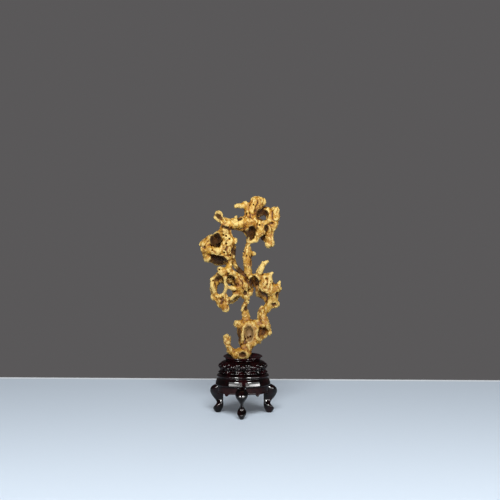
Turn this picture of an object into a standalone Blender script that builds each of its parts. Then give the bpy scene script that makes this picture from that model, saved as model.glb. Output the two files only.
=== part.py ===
"""A scholar's rock: a tall, branching, perforated stone on a carved wooden stand.

The stone is one natural piece. Its branches are chains of round lumps joined by
tapering limbs, fused into one skin, with the hollows cut out of it. The stand is a
dish, a carved band, a shoulder, three aprons and three cabriole legs.

Frame: +Z up, +X to the right, -Y towards the viewer. The tables are in millimetres,
measured from the stand's axis on the table it stands on. The finished model is moved
so that the middle of its bounding box is over the origin.
"""

import math

import bmesh
import bpy
from mathutils import Matrix, Vector

MM = 0.001

# driving dimensions, in millimetres
JOINT_GAP = 0.3  # clearance between pieces that rest on each other

LEG_COUNT = 3
FRONT_LEG_AZIMUTH = 268.0  # degrees from +X towards +Y
KNEE_RADIUS_FROM_AXIS = 76.4
SHOULDER_RADIUS = 54.2
BODY_BOTTOM = 60.5
BODY_TOP = 84.2
BAND_RADIUS = 48.4
BAND_TOP = 109.0
BAND_LOBES = 12
DISH_RADIUS = 38.8
DISH_FLOOR = 113.2

# the stone's skin
VOXEL = 1.8
SMOOTH_STEPS = 3
LUMP_SIZE = 9.0
LUMP_HEIGHT = 4.5
ROCK_TRIANGLES = 5500
ROCK_BOTTOM = DISH_FLOOR + JOINT_GAP
ROCK_OFFSET = -0.8  # how far to the side of the stand's axis the stone's tables are set

# How far the stone bends back and forth, over its height and across its width.
BEND_BY_HEIGHT = 9.0
BEND_START_HEIGHT = 120.0
BEND_PERIOD_HEIGHT = 330.0
BEND_BY_WIDTH = 7.0
BEND_PERIOD_WIDTH = 190.0

# Branches of the stone: chains of (x, y, z, radius).
HEAD = {
    "crown": [(23, -6, 430, 7.6), (31, -6, 430.3, 8.2), (38.5, -6, 426.5, 8.4)],
    "crown corner": [(33, -4, 424, 8), (41, -4, 428.5, 4.6)],
    "crown root": [(26, -4, 427, 9.5), (15, 0, 412, 12)],
    "crown shoulder": [(37, -4, 425, 9), (24, 2, 411, 11)],
    "left lump": [(6, -6, 421, 7.4), (12, -2, 411, 10)],
    "nub": [(-11.5, -8, 418, 5.4), (2, -7, 418, 5.7)],
    "neck": [(15.5, -2, 412, 12), (15.5, 0, 398, 12), (14, 0, 384, 15), (14, 2, 374, 11)],
    "back of the crown": [(30, 12, 422, 8), (22, 16, 406, 11), (16, 14, 386, 12), (8, 14, 374, 10)],
    "ring, upper": [(28, 6, 414, 6), (38, 9, 416.5, 5), (51, 3, 410, 6)],
    "ring, right": [(51, -3, 410, 5.6), (57, -6, 401, 5.6), (55, -8, 390, 5.4)],
    "ring, lower": [(55, -8, 390, 5), (45, -9, 384.5, 4.2), (33, -8, 387, 6)],
    "right lobe": [(66, -6, 408, 9.4), (67.5, -4, 396, 8), (65.5, -2, 384, 8), (60, 0, 375, 8.5)],
    "right lobe, back": [(62, 8, 402, 8), (58, 10, 384, 8)],
    "right lobe link": [(57, -2, 401, 5), (66, -2, 398, 7)],
    "right leg": [(57, 0, 376, 9), (53.5, 0, 362, 8), (55, -2, 350, 8.5)],
    "right foot": [(50.5, -4, 341, 7.6), (57.5, -2, 343.5, 7.4)],
    "under the ring": [(34, -6, 384, 9), (46, -4, 380, 7), (56, -2, 379, 7)],
    "left limb": [(42, -4, 379, 8.5), (38, -6, 368, 8.5), (31, -6, 357, 5.6), (27, -4, 350, 4.6)],
    "left limb foot": [(27, -4, 350, 4.6), (20, -4, 347, 4.4), (14, 0, 346.5, 4.6)],
    "pit wall": [(9, -6, 380, 6), (9.5, -5, 368, 4), (10.5, -3, 358, 3.4), (12, 0, 348, 3.6)],
    "pit back": [(20, 13, 368, 9), (21, 12, 354, 7), (14, 6, 345, 5)],
    "web behind the leg": [(44, 12, 364, 6), (46, 11, 354, 5), (50, 6, 346, 5)],
    "web behind the leg, inner": [(39, 11, 364, 6), (41, 12, 354, 5), (46, 10, 350, 4.5)],
    "limb back": [(36, 8, 378, 9), (34, 8, 364, 6)],
    "below the ring": [(22, -5, 390, 11), (31, -6, 383, 9.5), (34, -7, 373, 8), (33, -7, 364, 7)],
    "ring, back wall": [(24, 12, 404, 10), (34, 14, 411, 10), (48, 13, 408, 9), (58, 8, 398, 7)],
    "ring, floor of the hollow": [(33, 13, 401, 7), (50, 12, 405, 7), (52, 10, 392, 6.5), (40, 8, 385.5, 5)],
    "underside": [(-20, 6, 379.5, 9.5), (-6, 5, 378, 10), (6, 5, 375.5, 9), (10, 6, 362, 6), (11.5, 5, 350, 5)],
}
ARM = {
    "arm": [(8, 0, 387, 13), (-5, -2, 382.5, 11), (-17, -2, 382.5, 11), (-28, -2, 385, 9), (-38, -2, 386, 8)],
    "arm back": [(4, 12, 384, 10), (-16, 11, 380, 9), (-32, 9, 380, 8)],
    "knob": [(-38, -2, 388, 8), (-45, -4, 396, 7.2), (-47, -4, 401.5, 7.8)],
    "knob lip": [(-53, -6, 395, 4.4), (-46, -4, 390, 5)],
    "knob back": [(-46, 6, 397, 6), (-36, 8, 386, 7)],
    "spike": [(-13, 2, 388, 5), (-11.5, 2, 395.5, 3)],
    "arm spike, cap": [(-14, 2, 396.3, 2.3), (-7, 2, 396.3, 2.5)],
    "arm, saddle": [(-9, 4, 390, 5), (0, 6, 392, 6)],
}
LEFT_MASS = {
    "throat": [(-33, 0, 378, 11), (-34, 0, 367, 13), (-31, 0, 356, 11)],
    "right flank": [(-31, 0, 360, 11.5), (-29, -2, 348, 11.5), (-27, -2, 335, 10), (-26, 0, 324, 8)],
    "roof": [(-44, 2, 358, 12), (-62, 2, 349, 11), (-74, 0, 345, 9)],
    "left tip": [(-82, -2, 342, 5), (-76, -1, 340, 8)],
    "left flank": [(-74, 0, 340, 10), (-74, 0, 332, 10.5), (-70.5, 0, 321, 8.5), (-69.5, 0, 310, 7.5)],
    "bridge": [(-68, -4, 331, 9), (-55, -7, 327, 7.5), (-44, -9, 328, 8.5), (-32, -5, 328, 9)],
    "back wall, upper": [(-66, 14, 336, 11), (-48, 20, 348, 12), (-32, 16, 354, 11)],
    "back wall, middle": [(-64, 14, 326, 10), (-48, 19, 322, 10), (-30, 14, 330, 10)],
    "back wall, lower": [(-66, 13, 316, 9), (-52, 18, 309, 10), (-36, 16, 309, 10), (-25, 6, 308, 7)],
    "nub": [(-26, -2, 347, 6.5), (-16, -4, 346.5, 5.8), (-12.8, -4, 350, 4.2)],
    "shadow strut": [(-22, 8, 340, 7), (-17, 14, 330, 6), (-19, 12, 318, 6), (-24, 6, 310, 6)],
    "spur": [(-26, -2, 318, 6), (-18, -4, 316.5, 3.8)],
    "arm down": [(-26, -2, 324, 8), (-24.5, -2, 310, 5.8), (-25, -2, 301, 5.8), (-29, -2, 290, 8)],
}
MIDDLE_MASS = {
    "top lump": [(-44, -6, 289, 8.6), (-38, -4, 284, 9)],
    "top ridge": [(-40, -6, 288, 8), (-28, -6, 289, 8.5), (-14, -6, 280, 7.5), (-6, -4, 273, 9)],
    "left rim": [(-61, -2, 271.5, 4.8), (-60, -4, 259, 6.6), (-55.5, -4, 246, 4.8), (-58, -2, 235.5, 6.2)],
    "left rim top": [(-61, -1, 271, 4.6), (-54, 3, 276, 5.4), (-46, 2, 282, 7)],
    "lower rim": [(-58, -2, 235, 6), (-48, -5, 236, 6), (-39, -8, 241, 5), (-34, -8, 250, 4.4)],
    "rib": [(-34, -8, 250, 4.2), (-33, -9, 262, 4.4), (-34, -8, 276, 5.5)],
    "cross rib": [(-32, -8, 256, 4.6), (-20, -8, 254, 5.2), (-9, -6, 254, 7)],
    "right body": [(-5, -4, 270, 11), (0, -4, 259, 12), (1, -4, 248, 10.5), (6, -4, 238, 8)],
    "right knob": [(8, -4, 235, 8), (9, -4, 227, 6.2)],
    "arch": [(4, -4, 243, 7), (-8, -4, 244.5, 7.2), (-18, -4, 238, 4.6), (-24, -4, 232, 4.4), (-33, -4, 233, 5)],
    "lower lobe, left": [(-50, -4, 236, 7), (-46, -4, 228, 8), (-41, -4, 220, 7.6)],
    "lower lobe": [(-36, -4, 236, 8), (-35, -6, 224, 8.6), (-33, -7, 213, 8.2)],
    "back wall": [(-52, 12, 274, 8), (-38, 15, 274, 9), (-24, 16, 270, 10), (-10, 16, 264, 11), (0, 14, 252, 10)],
    "back wall, lower": [(0, 14, 250, 9), (-14, 15, 232, 6), (-34, 12, 226, 8)],
    "back rim": [(-58, 8, 266, 6), (-62, 6, 252, 4.5), (-57, 6, 236, 6), (-42, 10, 226, 7)],
    "window, wall above": [(-54, 8, 268, 7), (-46, 10, 268, 8), (-40, 10, 266, 6)],
    "window, wall beside": [(-53.5, 6, 262, 5), (-53.5, 5, 252, 5), (-53, 4, 244, 5)],
    "rear strut": [(-20, 11, 308, 6.4), (-13, 13, 297, 5.6), (-3, 12, 284, 5.5), (4, 8, 276, 8)],
    "shadow saddle": [(-2, 6, 274, 9), (10, 8, 268, 9), (14, 6, 258, 7)],
}
COLUMN = {
    "column": [(13.5, 2, 346, 5), (10.5, 3, 337, 6.4), (9, 3, 326, 8), (8.3, 2, 314, 9.2), (10, 2, 300, 8)],
    "column foot": [(10, 2, 300, 8), (10.5, 2, 288, 8.2), (15, 0, 278, 8.5), (24, -2, 277, 7), (33, -4, 277, 8)],
    "column back": [(13, 8, 336, 5), (11, 8, 320, 7), (10.5, 8, 300, 6.5), (12, 8, 284, 7.5)],
    "spur": [(15, 8, 323, 6), (24.5, 8, 323, 4)],
    "horn": [(31, -6, 276, 8), (33.5, -8, 286, 7.3), (38.5, -9, 296, 6.1), (42.5, -9, 303, 5.4)],
    "horn tip": [(42, -9, 304, 5), (50, -9, 307, 3.4)],
    "centre back": [(12, 14, 274, 8), (24, 17, 269, 8), (38, 12, 268, 10)],
    "centre back, lower": [(12, 12, 262, 7), (17, 14, 252, 6), (14, 8, 242, 6)],
    "centre strand": [(24, 15, 266, 6), (25, 14, 258, 4.5), (34, 10, 252, 6)],
}
RIGHT_MASS = {
    "upper": [(43, -4, 275, 8.5), (52, -4, 275, 8), (52, -5, 262, 12)],
    "left flank": [(43, -4, 274, 8), (44.5, -4, 262, 12), (46, -4, 256, 12)],
    "middle": [(46, -5, 262, 11), (54, -6, 256, 12.5), (60, -4, 244, 12), (62, -2, 232, 10.5)],
    "spike": [(53, -6, 277, 6), (60.5, -7, 284.5, 2.4)],
    "right knob": [(62, -4, 254, 10), (70, -2, 252.5, 9.2)],
    "knob spike": [(70, -4, 256, 7), (74.5, -3, 266, 3)],
    "lower lump": [(62, -2, 230, 10), (64.5, 0, 221.5, 10)],
    "limb": [(60, -2, 224, 10), (50, -4, 214.5, 9.6), (43, -4, 206, 8), (41, -4, 199, 6.8)],
    "limb foot": [(41, -4, 199, 7), (42.5, -4, 190, 8.6), (43, -4, 182, 9.5)],
    "rear strand": [(39, 7, 213, 5), (34, 7, 203, 4.6), (32.5, 5, 192, 4.8)],
    "back": [(46, 14, 268, 10), (56, 16, 254, 11), (64, 12, 240, 10), (60, 10, 226, 9)],
    "pit back": [(34, 13, 245, 6.5), (41, 12, 238, 8.5), (48, 11, 234, 9), (54, 8, 224, 8)],
    "pit tongue": [(31, 12, 246, 4.6), (30, 12, 239, 4)],
}
LOWER_MASS = {
    "upper link": [(9, -2, 230, 6), (6, 0, 220, 5.2), (3, 1, 211, 6.4), (5, 0, 201, 7.4), (7, 0, 191, 8)],
    "front ridge": [(4, -7, 220, 2.4), (-1, -7, 209, 3)],
    "link right edge": [(10, 0, 207, 3.4), (11, 0, 196, 5)],
    "left nub": [(8, -2, 182, 9), (-3, -2, 180.5, 8.6), (-11, -2, 182.5, 7.6)],
    "upper bar": [(8, -3, 185, 8), (20, -3, 184, 6.4), (31, -4, 183, 8)],
    "oval, rim": [(1, -9, 150, 4.2), (0.4, -10, 162, 3.6), (2, -10, 174, 4), (7, -9, 182, 4.6), (14, -8.5, 184.5, 4.6),
                (21, -9, 181.5, 5), (26.5, -9, 173, 5.4), (28.5, -9, 163, 5.4), (27, -8, 153, 6)],
    "body, middle": [(13.5, -1, 178, 12), (13.5, -1, 164, 13), (13, 0, 150, 13)],
    "left wall": [(-5, 2, 174, 6), (-4, 3, 160, 5.6), (-2.5, 4, 144, 6)],
    "left wall, front": [(-0.5, -4, 174, 4.5), (-1, -4, 160, 4), (0, -3, 146, 5)],
    "right rim": [(27, -6, 176, 6), (28, -7, 154, 6.2), (22, -5, 145, 8)],
    "leaf": [(36, -4, 181, 8), (45, -4, 180, 9), (50.5, -2, 173, 6), (55, 0, 168, 4.2), (55.2, 0, 161, 3.8)],
    "leaf back": [(38, 8, 176, 8), (36, 8, 160, 6)],
    "leaf wall": [(42, 8, 170, 7), (41, 8, 160, 6.5), (36, 8, 151, 5.5)],
    "lower right": [(31, -4, 160, 8), (32, -4, 150, 7), (35.5, -4, 142, 2.8)],
    "lower fill": [(28, -5, 168, 7), (28, -4, 154, 9), (20, -3, 144, 10)],
    "body back": [(13, 8, 180, 10), (13, 9, 162, 11.5), (12, 7, 146, 11)],
    "stem": [(14, -1, 150, 12), (10, 0, 138, 13), (7, 0, 128, 12)],
    "foot": [(-12, 0, 124, 9), (0, 0, 122, 12), (8, 0, 123, 10)],
    "foot front": [(-10, -6, 120, 8), (-2, -9, 119, 8), (8, -7, 120, 8)],
    "finger root": [(-8, 0, 127, 7), (-17, 0, 126, 7), (-25, -2, 130.5, 6.4)],
    "finger": [(-25, -2, 130, 6.4), (-29.5, -3, 138, 6.2), (-30.5, -4, 146, 6.6), (-31, -4, 154, 8)],
}
BRANCH_SETS = [HEAD, ARM, LEFT_MASS, MIDDLE_MASS, COLUMN, RIGHT_MASS, LOWER_MASS]

# Hollows of the stone: (x, y, z), (radius in x, y, z), turn about the y axis in degrees.
HOLLOWS = {
    "head ring, mouth": ((39.5, -14, 401), (12, 15, 12.4), 0),
    "head ring, throat": ((41.5, 6, 394), (5.4, 26, 5.2), 0),
    "head slit": ((47.5, -16, 374), (3.4, 12, 6), 8),
    "head pit": ((19, -16, 369), (6.6, 20, 10.8), 0),
    "knob scoop": ((-46, -14, 396.5), (9, 8, 3.8), 38),
    "left mass, upper hollow": ((-52.5, -16, 349), (11, 24, 13), -10),
    "left mass, upper notch": ((-50, -14, 359.5), (5, 14, 5), 0),
    "left mass, lower hollow": ((-46, -15, 311), (16.5, 22, 9.5), 0),
    "left mass, lower mouth": ((-58, -12, 304), (9, 20, 7), 30),
    "left mass, side hollow": ((-66, -15, 347), (3.4, 7, 3.4), 0),
    "left mass, right shade": ((-15, -9, 329), (7, 13, 8), 0),
    "window, upper": ((-47, -15, 270.5), (9.5, 17, 9), 0),
    "window, through": ((-43.2, 0, 253), (5.8, 40, 10.4), 16),
    "middle hollow": ((-23.5, -17, 271), (7.2, 20, 8.6), 20),
    "small window": ((-25.5, 0, 243), (5.2, 40, 7.6), 0),
    "small pit": ((5.5, -15, 244), (2.8, 7, 3.4), 0),
    "centre hollow": ((23, -8, 264), (9.5, 16, 13), 0),
    "right mass pit": ((41, -14, 235), (11, 17, 11), 0),
    "right groove": ((70, -11, 239), (3.4, 8, 8), -12),
    "lower lump pit": ((64, -12, 220), (3.2, 6, 3.6), 0),
    "oval hollow": ((13.5, -19, 163.5), (9.4, 18.5, 16), 0),
    "leaf hollow": ((42, -14, 162), (9, 18, 10), 12),
    "foot hollow": ((1, -21, 121.5), (6.8, 15, 7.6), 0),
    "waist hollow": ((8.5, -8, 212.5), (4, 6, 4), 0),
}

# A leg's level sections: height, inner and outer distance from the axis, half width.
LEG_SECTIONS = [
    (0.0, 57.0, 64.5, 3.2),
    (2.5, 53.2, 67.6, 4.3),
    (7.5, 50.4, 70.8, 6.9),
    (12.0, 49.0, 67.0, 8.5),
    (17.0, 48.2, 62.2, 6.9),
    (21.0, 48.0, 61.5, 4.6),
    (25.5, 48.0, 64.1, 3.5),
    (31.0, 47.9, 69.2, 3.7),
    (37.5, 47.6, 74.7, 5.1),
    (41.5, 47.2, 76.2, 7.3),
    (45.5, 46.8, KNEE_RADIUS_FROM_AXIS, 9.9),
    (49.5, 46.6, 75.2, 11.5),
    (53.5, 46.4, 71.6, 10.9),
    (57.5, 46.2, 68.0, 8.7),
    (BODY_BOTTOM - JOINT_GAP, 46.0, 60.5, 5.6),
]
LEG_SIDES = 12

# The shoulder's turned profile, bottom to top: distance from the axis, height.
BODY_PROFILE = [
    (46.0, BODY_BOTTOM),
    (52.8, BODY_BOTTOM),
    (SHOULDER_RADIUS, 62.4),
    (SHOULDER_RADIUS, 67.0),
    (53.2, 71.2),
    (50.9, 73.8),
    (49.8, 75.2),
    (51.2, 76.5),
    (51.8, 79.0),
    (50.8, 82.2),
    (48.4, BODY_TOP),
]
BODY_SIDES = 48
CREST_HEIGHT = 1.7

# The band's turned profile, bottom to top, and how far its lobes stand out at each ring.
BAND_PROFILE = [
    (45.6, BODY_TOP + JOINT_GAP, 0.0),
    (BAND_RADIUS - 0.2, 86.2, 1.2),
    (44.8, 90.2, 0.6),
    (47.0, 94.0, 3.0),
    (BAND_RADIUS - 0.4, 98.5, 3.8),
    (46.4, 103.8, 2.6),
    (42.6, 107.4, 0.8),
    (38.0, BAND_TOP, 0.0),
]
BAND_SIDES = 72

# The dish's profile from its foot round the rim to its floor: radius, height, share of the rim's sway.
DISH_PROFILE = [
    (31.5, BAND_TOP + JOINT_GAP, 0.0),
    (33.5, 110.8, 0.1),
    (37.0, 113.0, 0.5),
    (DISH_RADIUS, 115.4, 1.0),
    (37.2, 116.7, 1.0),
    (32.5, 115.2, 0.6),
    (27.5, 113.6, 0.15),
    (25.0, DISH_FLOOR, 0.0),
]
DISH_SIDES = 40
RIM_SWAY = 4.6  # how far the rim rises at the back and sinks at the front

# Aprons: thin curved panels between the legs with two pendants each.
APRON_INNER = 47.6
APRON_OUTER = 51.2
APRON_BOTTOM = 45.6
APRON_PENDANT = 3.6
APRON_PENDANT_WIDTH = 4.2  # degrees
APRON_PENDANT_TURN = 38.0  # degrees from the leg's middle to the nearest pendant
APRON_STEPS = 20
APRON_LEG_CLEARANCE = 9.6  # degrees from the leg's middle to the panel's end


def material(name, color, roughness, metallic=0.0):
    """One Principled material."""
    mat = bpy.data.materials.new(name)
    mat.use_nodes = True
    shader = mat.node_tree.nodes["Principled BSDF"]
    shader.inputs["Base Color"].default_value = (*color, 1.0)
    shader.inputs["Roughness"].default_value = roughness
    shader.inputs["Metallic"].default_value = metallic
    mat.diffuse_color = (*color, 1.0)
    return mat


def bent(x, y, z):
    """A point of the tables moved back or forth with the bend of the stone."""
    by_height = BEND_BY_HEIGHT * math.sin(2 * math.pi * (z - BEND_START_HEIGHT) / BEND_PERIOD_HEIGHT)
    by_width = BEND_BY_WIDTH * math.sin(2 * math.pi * x / BEND_PERIOD_WIDTH)
    return Vector((x + ROCK_OFFSET, y + by_height + by_width, z))


def new_object(name, bm, mat, smooth_angle=None):
    """Put a bmesh, drawn in millimetres, into a named object in metres."""
    bmesh.ops.scale(bm, vec=(MM, MM, MM), verts=bm.verts)
    mesh = bpy.data.meshes.new(name)
    bm.to_mesh(mesh)
    bm.free()
    if mat:
        mesh.materials.append(mat)
    if smooth_angle:
        mesh.shade_smooth()
        mesh.set_sharp_from_angle(angle=math.radians(smooth_angle))
    obj = bpy.data.objects.new(name, mesh)
    bpy.context.scene.collection.objects.link(obj)
    return obj


def add_ball(bm, centre, radii, turn=0.0, subdivisions=3):
    """A closed round lump, or an ellipsoid turned about the y axis."""
    place = (
        Matrix.Translation(centre)
        @ Matrix.Rotation(math.radians(turn), 4, "Y")
        @ Matrix.Diagonal((*radii, 1.0))
    )
    bmesh.ops.create_icosphere(bm, subdivisions=subdivisions, radius=1.0, matrix=place)


def add_limb(bm, start, end):
    """A tapering limb between two lumps, closed at both ends."""
    a, b = bent(*start[:3]), bent(*end[:3])
    along = b - a
    place = Matrix.Translation((a + b) / 2) @ along.to_track_quat("Z", "Y").to_matrix().to_4x4()
    bmesh.ops.create_cone(
        bm,
        cap_ends=True,
        segments=16,
        radius1=start[3],
        radius2=end[3],
        depth=along.length,
        matrix=place,
    )


def voxel_remesh(obj, size):
    """Fuse everything in an object into one skin."""
    remesh = obj.modifiers.new("fuse", "REMESH")
    remesh.mode = "VOXEL"
    remesh.voxel_size = size * MM


def face_count(obj):
    """Faces of an object as its modifiers leave it."""
    depsgraph = bpy.context.evaluated_depsgraph_get()
    return len(obj.evaluated_get(depsgraph).data.polygons)


def hollows_cutter():
    """The stone's hollows and a flat sole as one hidden cutting body."""
    bm = bmesh.new()
    for centre, radii, turn in HOLLOWS.values():
        add_ball(bm, bent(*centre), radii, turn)
    cutter = new_object("hollows_cutter", bm, None)
    voxel_remesh(cutter, VOXEL)
    cutter.hide_render = True
    cutter.display_type = "WIRE"
    return cutter


def sole_cutter():
    """A hidden block whose top is the flat sole that the stone stands on."""
    bm = bmesh.new()
    depth = 40.0
    place = Matrix.Translation((0, 0, ROCK_BOTTOM - depth / 2)) @ Matrix.Diagonal((200, 200, depth, 1))
    bmesh.ops.create_cube(bm, size=1.0, matrix=place)
    cutter = new_object("sole_cutter", bm, None)
    cutter.hide_render = True
    cutter.display_type = "WIRE"
    return cutter


def subtract(obj, cutter):
    """Cut one body out of another."""
    cut = obj.modifiers.new("cut " + cutter.name, "BOOLEAN")
    cut.operation = "DIFFERENCE"
    cut.solver = "EXACT"
    cut.object = cutter


def roughen(obj):
    """Raise and sink the skin by soft cloud noise, as weathering does."""
    clouds = bpy.data.textures.new("weathering", "CLOUDS")
    clouds.noise_scale = LUMP_SIZE * MM
    clouds.noise_depth = 1
    lumps = obj.modifiers.new("lumps", "DISPLACE")
    lumps.texture = clouds
    lumps.texture_coords = "LOCAL"
    lumps.mid_level = 0.5
    lumps.strength = LUMP_HEIGHT * MM


def build_rock(mat):
    """The stone: lumps and limbs fused, hollows cut, softened and thinned to facets."""
    bm = bmesh.new()
    for branches in BRANCH_SETS:
        for chain in branches.values():
            for x, y, z, radius in chain:
                add_ball(bm, bent(x, y, z), (radius, radius, radius))
            for start, end in zip(chain, chain[1:]):
                add_limb(bm, start, end)
    rock = new_object("rock", bm, mat)
    voxel_remesh(rock, VOXEL)
    subtract(rock, hollows_cutter())
    voxel_remesh(rock, VOXEL)
    soften = rock.modifiers.new("soften", "SMOOTH")
    soften.factor = 0.5
    soften.iterations = SMOOTH_STEPS
    roughen(rock)
    thin = rock.modifiers.new("thin", "DECIMATE")
    thin.decimate_type = "COLLAPSE"
    thin.ratio = ROCK_TRIANGLES / (2 * face_count(rock))
    subtract(rock, sole_cutter())
    return rock


def closed_rings(bm, rings):
    """Skin a stack of rings, each a list of points, and close both ends with fans."""
    loops = [[bm.verts.new(point) for point in ring] for ring in rings]
    for low, high in zip(loops, loops[1:]):
        for i in range(len(low)):
            j = (i + 1) % len(low)
            bm.faces.new((low[i], low[j], high[j], high[i]))
    bm.faces.new(list(reversed(loops[0])))
    bm.faces.new(loops[-1])
    bmesh.ops.recalc_face_normals(bm, faces=bm.faces)


def polar(radius, azimuth, height):
    """A point by its distance from the axis, azimuth in degrees and height."""
    angle = math.radians(azimuth)
    return (radius * math.cos(angle), radius * math.sin(angle), height)


def leg_azimuths():
    return [FRONT_LEG_AZIMUTH + i * 360.0 / LEG_COUNT for i in range(LEG_COUNT)]


def build_dish(mat):
    """A shallow dish whose rim stands high at the back and low at the front."""
    bm = bmesh.new()
    rings = []
    for radius, height, share in DISH_PROFILE:
        ring = []
        for i in range(DISH_SIDES):
            azimuth = 360.0 * i / DISH_SIDES
            sway = RIM_SWAY * share * math.sin(math.radians(azimuth))
            ring.append(polar(radius, azimuth, height + sway))
        rings.append(ring)
    closed_rings(bm, rings)
    return new_object("stand_dish", bm, mat, 40)


def build_band(mat):
    """The carved band: a turned ring whose wall swells into lobes."""
    bm = bmesh.new()
    rings = []
    for radius, height, swell in BAND_PROFILE:
        ring = []
        for i in range(BAND_SIDES):
            azimuth = 360.0 * i / BAND_SIDES
            lobe = abs(math.cos(math.radians(azimuth * BAND_LOBES / 2)))
            ring.append(polar(radius + swell * (lobe - 0.5), azimuth, height))
        rings.append(ring)
    closed_rings(bm, rings)
    return new_object("stand_band", bm, mat, 40)


def build_body(mat):
    """The shoulder: a bell under a bead, with a crest over each leg."""
    bm = bmesh.new()
    rings = []
    step = 360.0 / BODY_SIDES
    for radius, height in BODY_PROFILE:
        ring = []
        for i in range(BODY_SIDES):
            on_leg = i % (BODY_SIDES // LEG_COUNT) == 0
            on_bell = BODY_BOTTOM < height < 74.0
            crest = CREST_HEIGHT if on_leg and on_bell else 0.0
            ring.append(polar(radius + crest, FRONT_LEG_AZIMUTH + i * step, height))
        rings.append(ring)
    closed_rings(bm, rings)
    return new_object("stand_body", bm, mat, 40)


def build_leg(name, azimuth, mat):
    """A cabriole leg: level oval sections, flat at the top and at the sole."""
    bm = bmesh.new()
    rings = []
    for height, inner, outer, half_width in LEG_SECTIONS:
        ring = []
        for i in range(LEG_SIDES):
            angle = 2 * math.pi * i / LEG_SIDES
            radial = (inner + outer) / 2 + (outer - inner) / 2 * math.cos(angle)
            ring.append((radial, half_width * math.sin(angle), height))
        rings.append(ring)
    closed_rings(bm, rings)
    bmesh.ops.rotate(bm, cent=(0, 0, 0), matrix=Matrix.Rotation(math.radians(azimuth), 3, "Z"), verts=bm.verts)
    return new_object(name, bm, mat, 60)


def build_apron(name, leg_azimuth, mat):
    """A curved panel from one leg to the next, with two pendants on its lower edge."""
    bm = bmesh.new()
    span = 360.0 / LEG_COUNT
    top = BODY_BOTTOM - JOINT_GAP
    first = APRON_LEG_CLEARANCE
    last = span - APRON_LEG_CLEARANCE
    rings = []
    for i in range(APRON_STEPS + 1):
        turn = first + (last - first) * i / APRON_STEPS
        nearest = min(abs(turn - APRON_PENDANT_TURN), abs(turn - span + APRON_PENDANT_TURN))
        drop = APRON_PENDANT * max(0.0, 1.0 - (nearest / APRON_PENDANT_WIDTH) ** 2)
        bottom = APRON_BOTTOM - drop
        azimuth = leg_azimuth + turn
        rings.append([
            polar(APRON_INNER, azimuth, bottom),
            polar(APRON_OUTER, azimuth, bottom + 0.8),
            polar(APRON_OUTER, azimuth, top),
            polar(APRON_INNER, azimuth, top),
        ])
    closed_rings(bm, rings)
    return new_object(name, bm, mat, 30)


def build_stand():
    """Every piece of the stand."""
    lacquer = material("dark lacquered wood", (0.030, 0.010, 0.009), 0.16)
    apron_wood = material("red brown wood", (0.10, 0.030, 0.022), 0.25)
    pieces = [build_dish(lacquer), build_band(lacquer), build_body(lacquer)]
    legs = ("stand_leg_front", "stand_leg_right", "stand_leg_left")
    aprons = ("stand_apron_right", "stand_apron_rear", "stand_apron_left")
    for leg, apron, azimuth in zip(legs, aprons, leg_azimuths()):
        pieces.append(build_leg(leg, azimuth, lacquer))
        pieces.append(build_apron(apron, azimuth, apron_wood))
    return pieces


def centre_over_origin(pieces):
    """Move every piece so that the whole stands centred over the origin."""
    depsgraph = bpy.context.evaluated_depsgraph_get()
    low = Vector((1e9, 1e9, 1e9))
    high = -low
    for obj in pieces:
        mesh = obj.evaluated_get(depsgraph).data
        for vertex in mesh.vertices:
            low = Vector(map(min, low, vertex.co))
            high = Vector(map(max, high, vertex.co))
    shift = Vector((-(low.x + high.x) / 2, -(low.y + high.y) / 2, -low.z))
    for obj in bpy.data.objects:
        obj.location = shift


def main():
    for obj in list(bpy.data.objects):
        bpy.data.objects.remove(obj)
    stone = material("golden ochre stone", (0.62, 0.38, 0.13), 0.62)
    pieces = build_stand() + [build_rock(stone)]
    centre_over_origin(pieces)


main()
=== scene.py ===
import math

import bpy
import numpy as np
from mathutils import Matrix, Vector


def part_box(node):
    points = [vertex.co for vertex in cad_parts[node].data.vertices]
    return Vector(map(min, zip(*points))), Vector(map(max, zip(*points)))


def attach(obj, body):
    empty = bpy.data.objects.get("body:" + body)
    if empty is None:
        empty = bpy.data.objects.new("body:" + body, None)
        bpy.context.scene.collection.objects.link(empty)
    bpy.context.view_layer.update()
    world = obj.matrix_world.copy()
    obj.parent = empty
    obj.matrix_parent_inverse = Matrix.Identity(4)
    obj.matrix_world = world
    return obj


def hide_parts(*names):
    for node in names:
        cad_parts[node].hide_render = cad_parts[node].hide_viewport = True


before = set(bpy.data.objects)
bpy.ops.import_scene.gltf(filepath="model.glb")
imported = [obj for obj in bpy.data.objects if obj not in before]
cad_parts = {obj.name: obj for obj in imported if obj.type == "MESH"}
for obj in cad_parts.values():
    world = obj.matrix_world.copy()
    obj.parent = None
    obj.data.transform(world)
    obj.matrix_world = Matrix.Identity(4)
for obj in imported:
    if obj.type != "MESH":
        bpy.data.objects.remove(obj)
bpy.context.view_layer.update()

# Lengths in the dictionaries are millimetres, measured from the stand's axis on the table.
mm = 0.001
dishLow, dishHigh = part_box("stand_dish")
axisX = (dishLow.x + dishHigh.x) / 2 / mm
axisY = (dishLow.y + dishHigh.y) / 2 / mm
print("frame loaded, stand axis at", round(axisX, 2), round(axisY, 2), "mm")


def newPiece(name, points, faces, finish, node):
    # a mesh object at the origin with its place in its mesh, riding on the one body
    mesh = bpy.data.meshes.new(name)
    placed = (np.asarray(points, float) + (axisX, axisY, 0.0)) * mm
    mesh.from_pydata(placed.tolist(), [], faces)
    mesh.update()
    mesh.shade_smooth()
    mesh.materials.append(finish)
    piece = bpy.data.objects.new(name, mesh)
    bpy.context.scene.collection.objects.link(piece)
    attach(piece, "root")
    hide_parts(node)
    return piece


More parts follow.
